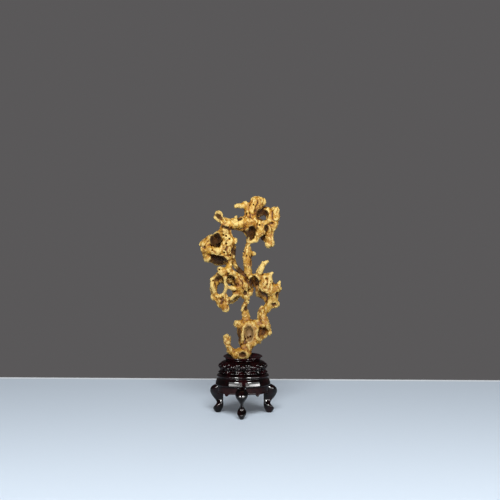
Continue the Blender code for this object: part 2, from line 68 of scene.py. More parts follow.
def tubeFaces(rings, around):
    # quads between closed rings of points, and a fan from a pole at each end;
    # the poles are the two points after the last ring
    i = np.arange(rings - 1)[:, None] * around
    j = np.arange(around)[None, :]
    k = (j + 1) % around
    quads = np.stack([i + j, i + k, i + around + k, i + around + j], axis=-1).reshape(-1, 4)
    bottomPole, topPole = rings * around, rings * around + 1
    last = (rings - 1) * around
    bottom = [(bottomPole, int(b), int(a)) for a, b in zip(j[0], k[0])]
    top = [(topPole, int(last + a), int(last + b)) for a, b in zip(j[0], k[0])]
    return quads.tolist() + bottom + top


def closedSurface(name, rings, finish, node):
    # rings is a (count, around, 3) array from the bottom up, closed by a pole at each end
    poles = np.stack([rings[0].mean(axis=0), rings[-1].mean(axis=0)])
    points = np.concatenate([rings.reshape(-1, 3), poles])
    return newPiece(name, points, tubeFaces(*rings.shape[:2]), finish, node)


def smoothPath(points, count):
    # Catmull-Rom: a cubic through every row of points, each slope the mean of its neighbours'
    p = np.asarray(points, float)
    p = np.concatenate([[2 * p[0] - p[1]], p, [2 * p[-1] - p[-2]]])
    t = np.linspace(0, len(p) - 3, count)
    i = np.minimum(t.astype(int), len(p) - 4)
    f = (t - i)[:, None]
    a, b, c, d = p[i], p[i + 1], p[i + 2], p[i + 3]
    return 0.5 * (2 * b + (c - a) * f + (2 * a - 5 * b + 4 * c - d) * f**2 + (3 * b - a - 3 * c + d) * f**3)


def turnedGrid(shape):
    # a row of azimuths in degrees, then each value of the smoothed profile as a column
    columns = smoothPath(shape["profile"], shape["rings"]).T
    azimuth = np.linspace(0, 360, shape["around"], endpoint=False)[None, :]
    return azimuth, *(column[:, None] for column in columns)


def turnedRings(radius, azimuth, height):
    # points by distance from the axis, azimuth in degrees and height, all broadcast together
    angle = np.radians(azimuth)
    x, y, z = np.broadcast_arrays(radius * np.cos(angle), radius * np.sin(angle), height)
    return np.stack([x, y, z], axis=-1)


def smoothStep(low, high, value):
    # 0 below low, 1 above high, 3t² - 2t³ between
    t = np.clip((value - low) / (high - low), 0, 1)
    return t * t * (3 - 2 * t)


def feedInput(tree, socket, value):
    # a link where the value is another node's output; a colour gets its alpha
    if isinstance(value, bpy.types.NodeSocket):
        tree.links.new(value, socket)
    else:
        socket.default_value = (*value, 1.0) if socket.type == "RGBA" else value


def addNode(tree, kind, inputs=None, **settings):
    # one shader node; an input is a number, a vector, a colour or another node's output
    node = tree.nodes.new("ShaderNode" + kind)
    for key, value in settings.items():
        setattr(node, key, value)
    for key, value in (inputs or {}).items():
        feedInput(tree, node.inputs[key], value)
    return node


def noiseFactor(tree, place, size, detail, rough, offset):
    # noise with features of the given size in mm; offset picks another part of the pattern
    shift = (offset, offset * 0.7, offset * 1.3)
    shifted = addNode(tree, "VectorMath", {0: place, 1: shift}, operation="ADD").outputs[0]
    inputs = {"Vector": shifted, "Scale": 1.0 / (size * mm), "Detail": detail, "Roughness": rough}
    return addNode(tree, "TexNoise", inputs).outputs["Fac"]


def bandFactor(tree, value, low, high):
    # 0 where value is low, 1 where it is high, smooth between
    inputs = {"Value": value, "From Min": low, "From Max": high}
    return addNode(tree, "MapRange", inputs, interpolation_type="SMOOTHSTEP").outputs["Result"]


def mathValue(tree, operation, *values):
    return addNode(tree, "Math", dict(enumerate(values)), operation=operation).outputs[0]


def mixColours(tree, factor, a, b):
    inputs = {0: factor, 6: a, 7: b}  # the sockets of a mix of colours
    return addNode(tree, "Mix", inputs, data_type="RGBA").outputs[2]


def addBump(tree, shader, relief, strength, height):
    # relief from 0 to 1 stands for that height in mm
    inputs = {"Height": relief, "Strength": strength, "Distance": height * mm}
    normal = addNode(tree, "Bump", inputs).outputs["Normal"]
    feedInput(tree, shader.inputs["Normal"], normal)
    return normal


def newFinish(name):
    material = bpy.data.materials.new(name)
    material.use_nodes = True
    tree = material.node_tree
    place = addNode(tree, "TexCoord").outputs["Object"]
    return material, tree, tree.nodes["Principled BSDF"], place


stoneLook = {
    "ochre": (0.4, 0.18, 0.013),
    "sand": (0.54, 0.3, 0.042),
    "cream": (0.73, 0.52, 0.165),
    "rust": (0.21, 0.066, 0.004),
    "umber": (0.075, 0.025, 0.002),
    "pink": (0.38, 0.145, 0.055),
    "drab": (0.31, 0.2, 0.085),
    "deepBrown": (0.05, 0.018, 0.0015),
    # size in mm, detail, roughness and offset of each noise
    "noises": {
        "patches": (26.0, 3.0, 0.55, 0.0),
        "veins": (8.0, 5.0, 0.65, 3.1),
        "specks": (2.6, 2.0, 0.6, 7.7),
        "blush": (13.0, 2.0, 0.5, 11.3),
        "flecks": (4.5, 3.0, 0.6, 19.9),
        "wideCreases": (10.0, 2.0, 0.6, 14.2),
        "fineCreases": (5.5, 2.0, 0.6, 23.7),
        "grain": (0.9, 4.0, 0.65, 5.5),
    },
    # laid over ochre in this order: the colour, what it follows, between which values of that it
    # comes in (None where it follows it as it is), and its share at most
    "layers": [
        ("sand", "patches", (0.35, 0.65), 1.0),
        ("rust", "veins", (0.5, 0.68), 0.75),
        ("pink", "blush", (0.55, 0.68), 0.5),
        ("cream", "flecks", (0.56, 0.68), 0.3),
        # cream where the stone is convex is a painted highlight; where a tint adds to it, it is paler stone
        ("cream", "lifted", (0.12, 0.52), 1.0),
        # rust and umber in the dips: painted shade where stone closes round, partly stain in the crevices
        ("rust", "sunk", (0.26, 0.56), 1.0),
        ("umber", "sunk", (0.50, 0.85), 1.0),
        ("rust", "busySpecks", None, 0.65),
        ("umber", "creases", None, 0.65),
        ("drab", "drab", None, 1.0),
        # umber toward the foot: partly soil, partly painted shade for the dimmer light low down
        ("umber", "low", None, 0.36),
        # deep brown: painted shade in the hollows, behind openings and under parts, in the hollows partly
        # soil stain
        ("deepBrown", "stainAndShade", (0.1, 0.9), 1.0),
    ],
    "liftedVeins": -0.35,  # how far the veins break up the ridges
    "sunkVeins": 0.3,  # and the dips
    "speckEdges": (0.60, 0.70),
    "creaseEdges": (0.006, 0.036),  # how far from its middle value a noise still draws a crease
    "creaseVeins": (0.40, 0.60),
    "lowHeights": (100.0, 400.0),  # darker toward the foot, partly soil and partly painted shade for the dimmer light there; not at the crown
    "roughness": 0.35,
    "roughnessBy": {"specks": 0.35, "stainAndShade": 0.4},
    "relief": {"grain": 0.4, "specks": -0.5, "creases": -0.6},
    "reliefHeight": 0.35,
    "reliefStrength": 0.9,
    "specular": 0.1,
}


def drawCreases(tree, guides):
    # thin winding lines where either of two noises crosses its middle value, broken up by the veins
    look = stoneLook
    crease = 0.0
    for name in ("wideCreases", "fineCreases"):
        fromMiddle = mathValue(tree, "ABSOLUTE", mathValue(tree, "SUBTRACT", guides[name], 0.5))
        line = mathValue(tree, "SUBTRACT", 1.0, bandFactor(tree, fromMiddle, *look["creaseEdges"]))
        crease = mathValue(tree, "MAXIMUM", line, crease)
    crease = mathValue(tree, "MULTIPLY", crease, bandFactor(tree, guides["veins"], *look["creaseVeins"]))
    return mathValue(tree, "MULTIPLY", crease, guides["busy"])


def stoneFinish():
    # ochre and sand in soft patches, cream on the ridges, partly a painted highlight, rust in the dips and
    # deep brown in the hollows, behind openings and under parts as painted shade, partly soil stain; ridges,
    # dips, stain and painted shade are worked out from the shape and come in as attributes of the mesh
    material, tree, shader, place = newFinish("golden ochre stone")
    look = stoneLook
    guides = {name: noiseFactor(tree, place, *values) for name, values in look["noises"].items()}
    for name in ("ridge", "hollow", "stainAndShade", "drab", "busy"):
        guides[name] = addNode(tree, "Attribute", attribute_name=name).outputs["Fac"]
    height = addNode(tree, "SeparateXYZ", {0: place}).outputs["Z"]
    bottom, top = look["lowHeights"]
    speckMask = bandFactor(tree, guides["specks"], *look["speckEdges"])
    guides["creases"] = drawCreases(tree, guides)
    guides["lifted"] = mathValue(tree, "MULTIPLY_ADD", guides["veins"], look["liftedVeins"], guides["ridge"])
    guides["sunk"] = mathValue(tree, "MULTIPLY_ADD", guides["veins"], look["sunkVeins"], guides["hollow"])
    guides["busySpecks"] = mathValue(tree, "MULTIPLY", speckMask, guides["busy"])
    # 1 at the foot, 0 at the crown: partly soil, partly painted shade
    guides["low"] = mathValue(tree, "SUBTRACT", 1.0, bandFactor(tree, height, bottom * mm, top * mm))
    colour = look["ochre"]
    for name, guide, edges, share in look["layers"]:
        mask = bandFactor(tree, guides[guide], *edges) if edges else guides[guide]
        if share < 1:
            mask = mathValue(tree, "MULTIPLY", mask, share)
        colour = mixColours(tree, mask, colour, look[name])
    rough, relief = look["roughness"], 0.0
    for name, share in look["roughnessBy"].items():
        rough = mathValue(tree, "MULTIPLY_ADD", guides[name], share, rough)
    for name, share in look["relief"].items():
        relief = mathValue(tree, "MULTIPLY_ADD", guides[name], share, relief)
    feedInput(tree, shader.inputs["Base Color"], colour)
    feedInput(tree, shader.inputs["Roughness"], rough)
    addBump(tree, shader, relief, look["reliefStrength"], look["reliefHeight"])
    shader.inputs["Specular IOR Level"].default_value = look["specular"]
    return material


lacquerLook = {
    "black": (0.0012, 0.0007, 0.0007),
    "wine": (0.017, 0.0012, 0.0022),
    "apronRed": (0.017, 0.005, 0.005),
    "apronDark": (0.006, 0.0025, 0.0025),
    # size in mm, detail, roughness and offset of each noise
    "grain": (3.0, 4.0, 0.6, 0.0),
    "patches": (16.0, 2.0, 0.5, 2.2),
    "waves": (7.0, 1.0, 0.4, 9.4),
    "grainStretch": 0.12,
    "grainRoughness": 0.15,
    "waveHeight": 0.05,
    "waveStrength": 0.5,
    "specular": 0.0,  # the gloss is all in the coat
    "coatRoughness": 0.03,
}


def lacquerFinish(name, dark, red, redFrom, redFull, roughness, coat):
    # dark wood with long grain under a clear glossy coat; redder where grain and patches are high
    material, tree, shader, place = newFinish(name)
    look = lacquerLook
    stretch = {"Vector": place, "Scale": (1.0, 1.0, look["grainStretch"])}
    grain = noiseFactor(tree, addNode(tree, "Mapping", stretch).outputs[0], *look["grain"])
    patches = noiseFactor(tree, place, *look["patches"])
    both = mathValue(tree, "MULTIPLY", mathValue(tree, "ADD", grain, patches), 0.5)
    colour = mixColours(tree, bandFactor(tree, both, redFrom, redFull), look[dark], look[red])
    rough = mathValue(tree, "MULTIPLY_ADD", grain, look["grainRoughness"], roughness)
    feedInput(tree, shader.inputs["Base Color"], colour)
    feedInput(tree, shader.inputs["Roughness"], rough)
    waves = noiseFactor(tree, place, *look["waves"])
    normal = addBump(tree, shader, waves, look["waveStrength"], look["waveHeight"])
    feedInput(tree, shader.inputs["Coat Normal"], normal)
    shader.inputs["Specular IOR Level"].default_value = look["specular"]
    shader.inputs["Coat Weight"].default_value = coat
    shader.inputs["Coat Roughness"].default_value = look["coatRoughness"]
    return material


stone = stoneFinish()
blackLacquer = lacquerFinish("near black lacquer", "black", "wine", 0.46, 0.72, 0.23, 0.5)
carvedLacquer = lacquerFinish("carved lacquer", "black", "wine", 0.42, 0.70, 0.23, 0.28)
wineLacquer = lacquerFinish("wine lacquer", "black", "wine", 0.30, 0.62, 0.23, 0.5)
apronWood = lacquerFinish("red brown apron wood", "apronDark", "apronRed", 0.35, 0.62, 0.29, 0.2)
print("finishes made")

# The stone's branches are chains of x, y, z and radius: each link is a ball at both ends and the cone
# between them.
stoneBranches = {
    "crown": [(23, -6, 430, 7.6), (31, -6, 430.3, 8.2), (38.5, -6, 426.5, 8.4)],
    "crownCorner": [(33, -4, 424, 8), (41, -4, 428.5, 4.6)],
    "crownRoot": [(26, -4, 427, 9.5), (15, 0, 412, 12)],
    "crownShoulder": [(37, -4, 425, 9), (24, 2, 411, 11)],
    "leftLump": [(6, -6, 421, 7.4), (12, -2, 411, 10)],
    "nub": [(-11.5, -8, 418, 5.4), (2, -7, 418, 5.7)],
    "neck": [(15.5, -2, 412, 12), (15.5, 0, 398, 12), (14, 0, 384, 15), (14, 2, 374, 11)],
    "crownBack": [(30, 12, 422, 8), (22, 16, 406, 11), (16, 14, 386, 12), (8, 14, 374, 10)],
    "ringUpper": [(28, 6, 414, 6), (38, 9, 416.5, 5), (51, 3, 410, 6)],
    "ringRight": [(51, -3, 410, 5.6), (57, -6, 401, 5.6), (55, -8, 390, 5.4)],
    "ringLower": [(55, -8, 390, 5), (45, -9, 384.5, 4.2), (33, -8, 387, 6)],
    "rightLobe": [(66, -6, 408, 9.4), (67.5, -4, 396, 8), (65.5, -2, 384, 8), (60, 0, 375, 8.5)],
    "rightLobeBack": [(62, 8, 402, 8), (58, 10, 384, 8)],
    "rightLobeLink": [(57, -2, 401, 5), (66, -2, 398, 7)],
    "lobeFace": [(61, -5, 405, 6), (62, -6, 392, 6.5)],
    "rightLeg": [(57, 0, 376, 9), (53.5, 0, 362, 8), (55, -2, 350, 8.5)],
    "rightFoot": [(50.5, -4, 341, 7.6), (57.5, -2, 343.5, 7.4)],
    "underRing": [(34, -6, 384, 9), (46, -4, 380, 7), (56, -2, 379, 7)],
    "leftLimb": [(42, -4, 379, 8.5), (38, -6, 368, 8.5), (31, -6, 357, 5.6), (27, -4, 350, 4.6)],
    "leftLimbFoot": [(27, -4, 350, 4.6), (20, -4, 347, 4.4), (14, 0, 346.5, 4.6)],
    "pitWall": [(9, -6, 380, 6), (9.5, -5, 368, 4), (10.5, -3, 358, 3.4), (12, 0, 348, 3.6)],
    "pitBack": [(20, 13, 368, 9), (21, 12, 354, 7), (14, 6, 345, 5)],
    "legWeb": [(44, 12, 364, 6), (46, 11, 354, 5), (50, 6, 346, 5)],
    "legWebInner": [(39, 11, 364, 6), (41, 12, 354, 5), (46, 10, 350, 4.5)],
    "limbBack": [(36, 8, 378, 9), (34, 8, 364, 6)],
    "belowRing": [(22, -5, 390, 11), (31, -6, 383, 9.5), (34, -7, 373, 8), (33, -7, 364, 7)],
    "ringBackWall": [(24, 12, 404, 10), (34, 14, 411, 10), (48, 13, 408, 9), (58, 8, 398, 7)],
    "ringFloor": [(33, 13, 401, 7), (50, 12, 405, 7), (52, 10, 392, 6.5), (40, 8, 385.5, 5)],
    "underside": [(-20, 6, 379.5, 9.5), (-6, 5, 378, 10), (6, 5, 375.5, 9), (10, 6, 362, 6),
                  (11.5, 5, 350, 5)],
    "arm": [(8, 0, 387, 13), (-5, -2, 382.5, 11), (-17, -2, 382.5, 11), (-28, -2, 385, 9),
            (-38, -2, 386, 8)],
    "armBack": [(4, 12, 384, 10), (-16, 11, 380, 9), (-32, 9, 380, 8)],
    "knob": [(-38, -2, 388, 8), (-45, -4, 396, 7.2), (-47, -4, 401.5, 7.8)],
    "knobLip": [(-53, -6, 395, 4.4), (-46, -4, 390, 5)],
    "knobBack": [(-46, 6, 397, 6), (-36, 8, 386, 7)],
    "armSpike": [(-13, 2, 388, 5), (-11.5, 2, 395.5, 3)],
    "armSpikeCap": [(-14, 2, 396.3, 2.3), (-7, 2, 396.3, 2.5)],
    "armSaddle": [(-9, 4, 390, 5), (0, 6, 392, 6)],
    "throat": [(-33, 0, 378, 11), (-34, 0, 367, 13), (-31, 0, 356, 11)],
    "rightFlank": [(-31, 0, 360, 11.5), (-29, -2, 348, 11.5), (-27, -2, 335, 10), (-26, 0, 324, 8)],
    "pitCorner": [(-37, -5, 343, 7), (-38.5, -8, 338, 6.8)],
    "roof": [(-44, 2, 358, 12), (-62, 2, 349, 11), (-74, 0, 345, 9)],
    "leftTip": [(-82, -2, 342, 5), (-76, -1, 340, 8)],
    "leftFlank": [(-74, 0, 340, 10), (-74, 0, 332, 10.5), (-70.5, 0, 321, 8.5), (-69.5, 0, 310, 7.5)],
    "bridge": [(-68, -4, 331, 9), (-55, -7, 327, 7.5), (-44, -9, 328, 8.5), (-32, -5, 328, 9)],
    "bridgeUnder": [(-49, -9, 322, 5.5), (-37, -7, 320.5, 6.5), (-29, -4, 315, 6)],
    "backWallUpper": [(-66, 14, 336, 11), (-48, 20, 348, 12), (-32, 16, 354, 11)],
    "backWallMiddle": [(-64, 14, 326, 10), (-48, 19, 322, 10), (-30, 14, 330, 10)],
    "backWallLower": [(-66, 13, 316, 9), (-52, 18, 309, 10), (-36, 16, 309, 10), (-25, 6, 308, 7)],
    "flankNub": [(-26, -2, 347, 6.5), (-16, -4, 346.5, 5.8), (-12.8, -4, 350, 4.2)],
    "shadowStrut": [(-22, 8, 340, 7), (-17, 14, 330, 6), (-19, 12, 318, 6), (-24, 6, 310, 6)],
    "flankSpur": [(-26, -2, 318, 6), (-18, -4, 316.5, 3.8)],
    "armDown": [(-26, -2, 324, 8), (-24.5, -2, 310, 5.8), (-25, -2, 301, 5.8), (-29, -2, 290, 8)],
    "topLump": [(-44, -6, 289, 8.6), (-38, -4, 284, 9)],
    "topRidge": [(-40, -6, 288, 8), (-28, -6, 289, 8.5), (-14, -6, 280, 7.5), (-6, -4, 273, 9)],
    "leftRim": [(-61, -2, 271.5, 4.8), (-60.5, -4, 259, 6), (-55.5, -4, 246, 4.8), (-58, -2, 235.5, 6.2)],
    "leftRimTop": [(-61, -1, 271, 4.6), (-54, 3, 276, 5.4), (-46, 2, 282, 7)],
    "lowerRim": [(-58, -2, 235, 6), (-48, -5, 236, 6), (-39, -8, 241, 5), (-34, -8, 250, 4.4)],
    "rib": [(-34, -8, 250, 4.2), (-33, -9, 262, 4.4), (-34, -8, 276, 5.5)],
    "crossRib": [(-32, -8, 256, 4.6), (-20, -8, 254, 5.2), (-9, -6, 254, 7)],
    "rightBody": [(-5, -4, 270, 11), (0, -4, 259, 12), (1, -4, 248, 10.5), (6, -4, 238, 8)],
    "rightKnobLow": [(8, -4, 235, 8), (9, -4, 227, 6.2)],
    "smallWindowWall": [(-19.5, 4, 247, 5), (-20, 4, 236, 5)],
    "arch": [(4, -4, 243, 7), (-8, -4, 244.5, 7.2), (-18, -4, 238, 4.6), (-24, -4, 232, 4.4),
             (-33, -4, 233, 5)],
    "lowerLobeLeft": [(-50, -4, 236, 7), (-46, -4, 228, 8), (-41, -4, 220, 7.6)],
    "lowerLobe": [(-36, -4, 236, 8), (-35, -6, 224, 8.6), (-33, -7, 213, 8.2)],
    "middleBack": [(-52, 12, 274, 8), (-38, 15, 274, 9), (-24, 16, 270, 10), (-10, 16, 264, 11),
                   (0, 14, 252, 10)],
    "middleBackLow": [(0, 14, 250, 9), (-14, 15, 232, 6), (-34, 12, 226, 8)],
    "backRim": [(-58, 8, 266, 6), (-62, 6, 252, 4.5), (-57, 6, 236, 6), (-42, 10, 226, 7)],
    "windowWallAbove": [(-54, 8, 268, 7), (-46, 10, 268, 8), (-40, 10, 266, 6)],
    "windowWallBeside": [(-54.6, 6, 262, 4.6), (-54.6, 5, 252, 4.6), (-54, 4, 244, 4.6)],
    "rearStrut": [(-20, 11, 308, 6.4), (-13, 13, 297, 5.6), (-3, 12, 284, 5.5), (4, 8, 276, 8)],
    "saddle": [(-2, 6, 274, 9), (10, 8, 268, 9), (14, 6, 258, 7)],
    "column": [(13.5, 2, 346, 5), (10.5, 3, 337, 6.4), (9, 3, 326, 8), (8.3, 2, 314, 9.2), (10, 2, 300, 8)],
    "columnFoot": [(10, 2, 300, 8), (10.5, 2, 288, 8.2), (15, 0, 278, 8.5), (24, -2, 277, 7),
                   (33, -4, 277, 8)],
    "columnBack": [(13, 8, 336, 5), (11, 8, 320, 7), (10.5, 8, 300, 6.5), (12, 8, 284, 7.5)],
    "columnSpur": [(14, 6, 323.5, 7.2), (22, 6, 322.5, 4.6)],
    "horn": [(31, -6, 276, 8), (33.5, -8, 286, 7.3), (38.5, -9, 296, 6.1), (42.5, -9, 303, 5.4)],
    "hornTip": [(42, -9, 304, 5), (50, -9, 307, 3.4)],
    "centreBack": [(12, 14, 274, 8), (24, 17, 269, 8), (38, 12, 268, 10)],
    "centreBackLow": [(12, 12, 262, 7), (17, 14, 252, 6), (14, 8, 242, 6)],
    "centreStrand": [(24, 15, 266, 6), (25, 14, 258, 4.5), (34, 10, 252, 6)],
    "rightUpper": [(43, -4, 275, 8.5), (52, -4, 275, 8), (52, -5, 262, 12)],
    "rightInner": [(43, -4, 274, 8), (44.5, -4, 262, 12), (46, -4, 256, 12)],
    "rightMiddle": [(46, -5, 262, 11), (54, -6, 256, 12.5), (60, -4, 244, 12), (62, -2, 232, 10.5)],
    "pitBrow": [(37, -8, 257, 6), (41, -11, 251.5, 5.5), (50, -12, 249.5, 7)],
    "rightSpike": [(53, -6, 277, 6), (60.5, -7, 284.5, 2.4)],
    "rightKnob": [(62, -4, 254, 10), (70, -2, 252.5, 9.2)],
    "knobSpike": [(70, -4, 256, 7), (74.5, -3, 266, 3)],
    "lowerLump": [(62, -2, 230, 10), (64.5, 0, 221.5, 10)],
    "rightLimb": [(60, -2, 224, 10), (50, -4, 214.5, 9.6), (43, -4, 206, 8), (41, -4, 199, 6.8)],
    "rightLimbFoot": [(41, -4, 199, 7), (42.5, -4, 190, 8.6), (43, -4, 182, 9.5)],
    "rearStrand": [(39, 7, 213, 5), (34, 7, 203, 4.6), (32.5, 5, 192, 4.8)],
    "rightBack": [(46, 14, 268, 10), (56, 16, 254, 11), (64, 12, 240, 10), (60, 10, 226, 9)],
    "rightPitBack": [(34, 13, 245, 6.5), (41, 12, 238, 8.5), (48, 11, 234, 9), (54, 8, 224, 8)],
    "pitTongue": [(31, 12, 246, 4.6), (30, 12, 239, 4)],
    "upperLink": [(9, -2, 230, 6), (6, 0, 220, 5.2), (3, 1, 211, 6.4), (5, 0, 201, 7.4), (7, 0, 191, 8)],
    "frontRidge": [(4, -7, 220, 2.4), (-1, -7, 209, 3)],
    "linkRightEdge": [(10, 0, 207, 3.4), (11, 0, 196, 5)],
    "leftNub": [(8, -2, 182, 9), (-3, -2, 180.5, 8.6), (-11, -2, 182.5, 7.6)],
    "upperBar": [(8, -3, 185, 8), (20, -3, 184, 6.4), (31, -4, 183, 8)],
    "ovalRim": [(1, -9, 150, 3.6), (0.2, -10, 162, 2.7), (1.6, -10, 174, 3.1), (7, -9, 182, 4.4),
                (14, -8.5, 184.5, 4.6), (21, -9, 181.5, 5), (26.5, -9, 173, 5.4), (28.5, -9, 163, 5.4),
                (27, -8, 153, 6)],
    "bodyMiddle": [(13.5, -1, 178, 12), (13.5, -1, 164, 13), (13, 0, 150, 13)],
    "leftWall": [(-5, 2, 174, 6), (-4, 3, 160, 5.6), (-2.5, 4, 144, 6)],
    "leftWallFront": [(-0.5, -4, 174, 4.5), (-1, -4, 160, 4), (0, -3, 146, 5)],
    "ovalRightRim": [(27, -6, 176, 6), (28, -7, 154, 6.2), (22, -5, 145, 8)],
    "leaf": [(36, -4, 181, 8), (45, -4, 180, 9), (50.5, -2, 173, 7), (54, 0, 168, 5.2), (54.6, 0, 161, 4.4)],
    "leafBack": [(38, 8, 176, 8), (36, 8, 160, 6)],
    "leafWall": [(42, 8, 170, 7), (41, 8, 160, 6.5), (36, 8, 151, 5.5)],
    "leafFill": [(50, 5, 172, 6.5), (49.5, 6, 163, 5.5), (44, 6, 155, 5)],
    "lowerRight": [(31, -4, 160, 8), (32, -4, 150, 7), (35.5, -4, 142, 2.8)],
    "lowerFill": [(28, -5, 168, 7), (28, -4, 154, 9), (20, -3, 144, 10)],
    "bodyBack": [(13, 8, 180, 10), (13, 9, 162, 11.5), (12, 7, 146, 11)],
    "stem": [(14, -1, 150, 12), (10, 0, 138, 13), (7, 0, 128, 12)],
    "foot": [(-13.5, 0, 123, 9.4), (0, 0, 122, 12), (8, 0, 123, 10)],
    "footFront": [(-12.5, -6, 120.5, 8), (-2, -9, 119, 8), (8, -7, 120, 8)],
    "fingerRoot": [(-8, 0, 127, 7), (-17, 0, 126, 7), (-25, -2, 130.5, 6.4)],
    "finger": [(-25, -2, 130, 7), (-29.5, -3, 138, 6.9), (-30.5, -4, 146, 7.2), (-31, -4, 154, 8.2)],
}

# Its hollows: middle, radius in x, y and z, turn about the y axis in degrees, and how dark the wall is
# painted, partly soil stain and partly painted shade deep inside; below zero the wall is smooth, pale and
# drab instead.
stoneHollows = {
    "headRingMouth": ((39.5, -14, 401), (12, 15, 12.4), 0, 0.75),
    "headRingThroat": ((41.5, 6, 394), (5.4, 26, 5.2), 0, 0.55),
    "headSlit": ((47.5, -16, 374), (3.4, 12, 6), 8, 0.9),
    "headPit": ((19, -16, 367.5), (6.6, 20, 9.6), 0, 1.0),
    "saddleNotch": ((-6, -8, 392), (4.6, 9, 3.6), 0, 0.9),
    "armCrease": ((-32, -14, 375), (13, 7, 1.9), 18, 0.85),
    "knobScoop": ((-45.4, -14, 395.4), (10.5, 8, 3.3), 40, 0.8),
    "leftUpper": ((-53, -16, 349.8), (10.7, 24, 13), -10, 1.0),
    "leftUpperNotch": ((-50, -14, 359.5), (5, 14, 5), 0, 0.8),
    "leftLower": ((-47, -15, 310), (16, 22, 9.2), 12, 0.95),
    "leftLowerMouth": ((-58, -12, 304), (9, 20, 7), 30, 0.8),
    "leftSide": ((-66, -15, 347), (3.4, 7, 3.4), 0, 0.3),
    "leftRightShade": ((-15, -9, 329), (7, 13, 8), 0, 0.7),
    "windowUpper": ((-48, -15, 270.5), (9.5, 17, 9), 0, 0.75),
    "windowThrough": ((-44.4, 0, 253), (6.4, 40, 10.4), 16, 0.35),
    "middleHollow": ((-23.5, -17, 271), (7.2, 20, 8.6), 20, 0.95),
    "smallWindow": ((-25.5, 0, 243), (5.2, 40, 7.6), 0, 0.45),
    "smallPit": ((5.5, -15, 244), (2.8, 7, 3.4), 0, 0.9),
    "centreHollow": ((23, -8, 264), (9.5, 16, 13), 0, 0.85),
    "rightPit": ((40, -14, 235), (11, 17, 10), 0, 0.45),
    "rightGroove": ((70, -11, 239), (3.4, 8, 8), -12, 0.5),
    "lowerLumpPit": ((64, -12, 220), (3.2, 6, 3.6), 0, 0.5),
    "oval": ((13.5, -19, 163.5), (9.4, 18.5, 16), 0, -0.8),
    "leafHollow": ((41.5, -14, 163), (10.6, 18, 11.6), 12, 0.45),
    "footHollow": ((1, -21, 121.5), (6.8, 15, 7.6), 0, 0.6),
    "waistHollow": ((8.5, -8, 212.5), (4, 6, 4), 0, 0.9),
}

# Painted shade where little light falls: back walls seen through openings, rear struts, undersides and the
# column's right side, without a hollow of their own: middle, radii, how dark.
stonePaintedShade = {
    "behindLeftLower": ((-47, 14, 313), (22, 18, 17), 0.9),
    "underLeftLower": ((-50, 4, 301), (15, 12, 6), 0.55),
    "behindLeftUpper": ((-50, 12, 345), (15, 12, 15), 0.9),
    "rearStrut": ((-5, 12, 290), (17, 12, 21), 0.85),
    "shadowStrut": ((-18, 12, 326), (9, 12, 20), 0.8),
    "undersideOfHead": ((2, 5, 371), (13, 12, 9), 0.65),
    "pitWall": ((9.5, -4, 364), (6, 10, 17), 0.85),
    "pitBack": ((19, 8, 361), (12, 14, 17), 0.95),
    "legWeb": ((41, 11, 356), (10, 10, 13), 0.95),
    "slitBack": ((48, 8, 374), (5, 12, 9), 0.9),
    "windowWall": ((-46, 12, 262), (14, 12, 18), 0.65),
    "middleBack": ((-22, 15, 268), (12, 12, 14), 0.8),
    "middleBackLow": ((-18, 15, 238), (14, 12, 12), 0.6),
    "centreBack": ((22, 14, 263), (14, 10, 16), 0.6),
    "columnRight": ((17, 2, 305), (5, 12, 36), 0.4),
    "rightPitBack": ((36, 12, 241), (15, 14, 16), 0.55),
    "leftWall": ((-6, -1, 160), (6.5, 12, 22), 0.8),
    "linkRight": ((12, 2, 205), (6, 10, 14), 0.45),
    "rearStrand": ((34, 8, 202), (6, 9, 14), 0.6),
    "ringBack": ((41, 4, 403), (14, 9, 12), 0.78),
    "footLeft": ((-14, 4, 121), (9, 12, 6), 0.4),
    "ovalTop": ((14.5, 0, 181), (12, 8, 8), 0.6),
}

# Broad changes of tone: middle, radii, and how much paler (above zero) or rustier (below).
stoneTints = {
    "rightFace": ((50, -12, 262), (17, 16, 20), 0.30),
    "horn": ((38, -10, 292), (11, 12, 18), 0.28),
    "rightLimb": ((58, -10, 236), (13, 14, 16), 0.15),
    "throat": ((-28, -12, 352), (11, 12, 24), 0.30),
    "arm": ((-18, -10, 385), (24, 13, 10), 0.28),
    "ovalFace": ((24, -12, 184), (17, 12, 11), 0.20),
    "footRight": ((13, -12, 131), (10, 14, 13), 0.20),
    "column": ((13, 0, 316), (9, 14, 24), -0.28),
    "leftSide": ((-67, -10, 330), (15, 16, 15), -0.06),
    "bridge": ((-50, -16, 328), (22, 12, 9), 0.15),
    "lowerLobe": ((-37, -8, 222), (11, 14, 14), -0.28),
    "middleBody": ((-5, -10, 264), (13, 14, 15), -0.22),
    "footLeft": ((-13, -8, 120), (9, 14, 10), -0.35),
    "link": ((4, -2, 206), (9, 12, 13), -0.15),
    "ringTop": ((44, -2, 417), (13, 12, 7), -0.25),
    "rightTip": ((71, -4, 250), (9, 12, 10), -0.22),
}

# Pinholes on its front: x, z and radius.
stonePinholes = [
    (-38, 360, 1.7), (-32, 358, 1.7), (-32, 343, 1.8), (-36, 325.5, 1.7), (-25.5, 352.5, 1.8),
    (-23.5, 320, 1.7), (-46, 291.5, 1.7), (-50, 288, 1.7), (-58.5, 269, 1.8), (-28, 283.5, 1.6),
    (47, 273, 1.5), (57, 267, 1.3), (49, 261.5, 1.8), (60.5, 261.5, 1.8), (11, 154, 2), (16, 155.5, 1.9),
    (-7, 397, 3.2), (44, 415, 1.5), (34, 380, 1.7), (8, 402, 1.5), (22, 420, 1.4), (-60, 330, 1.5),
    (-44, 322, 1.4), (60, 222, 1.8), (68, 219, 1.5),
]

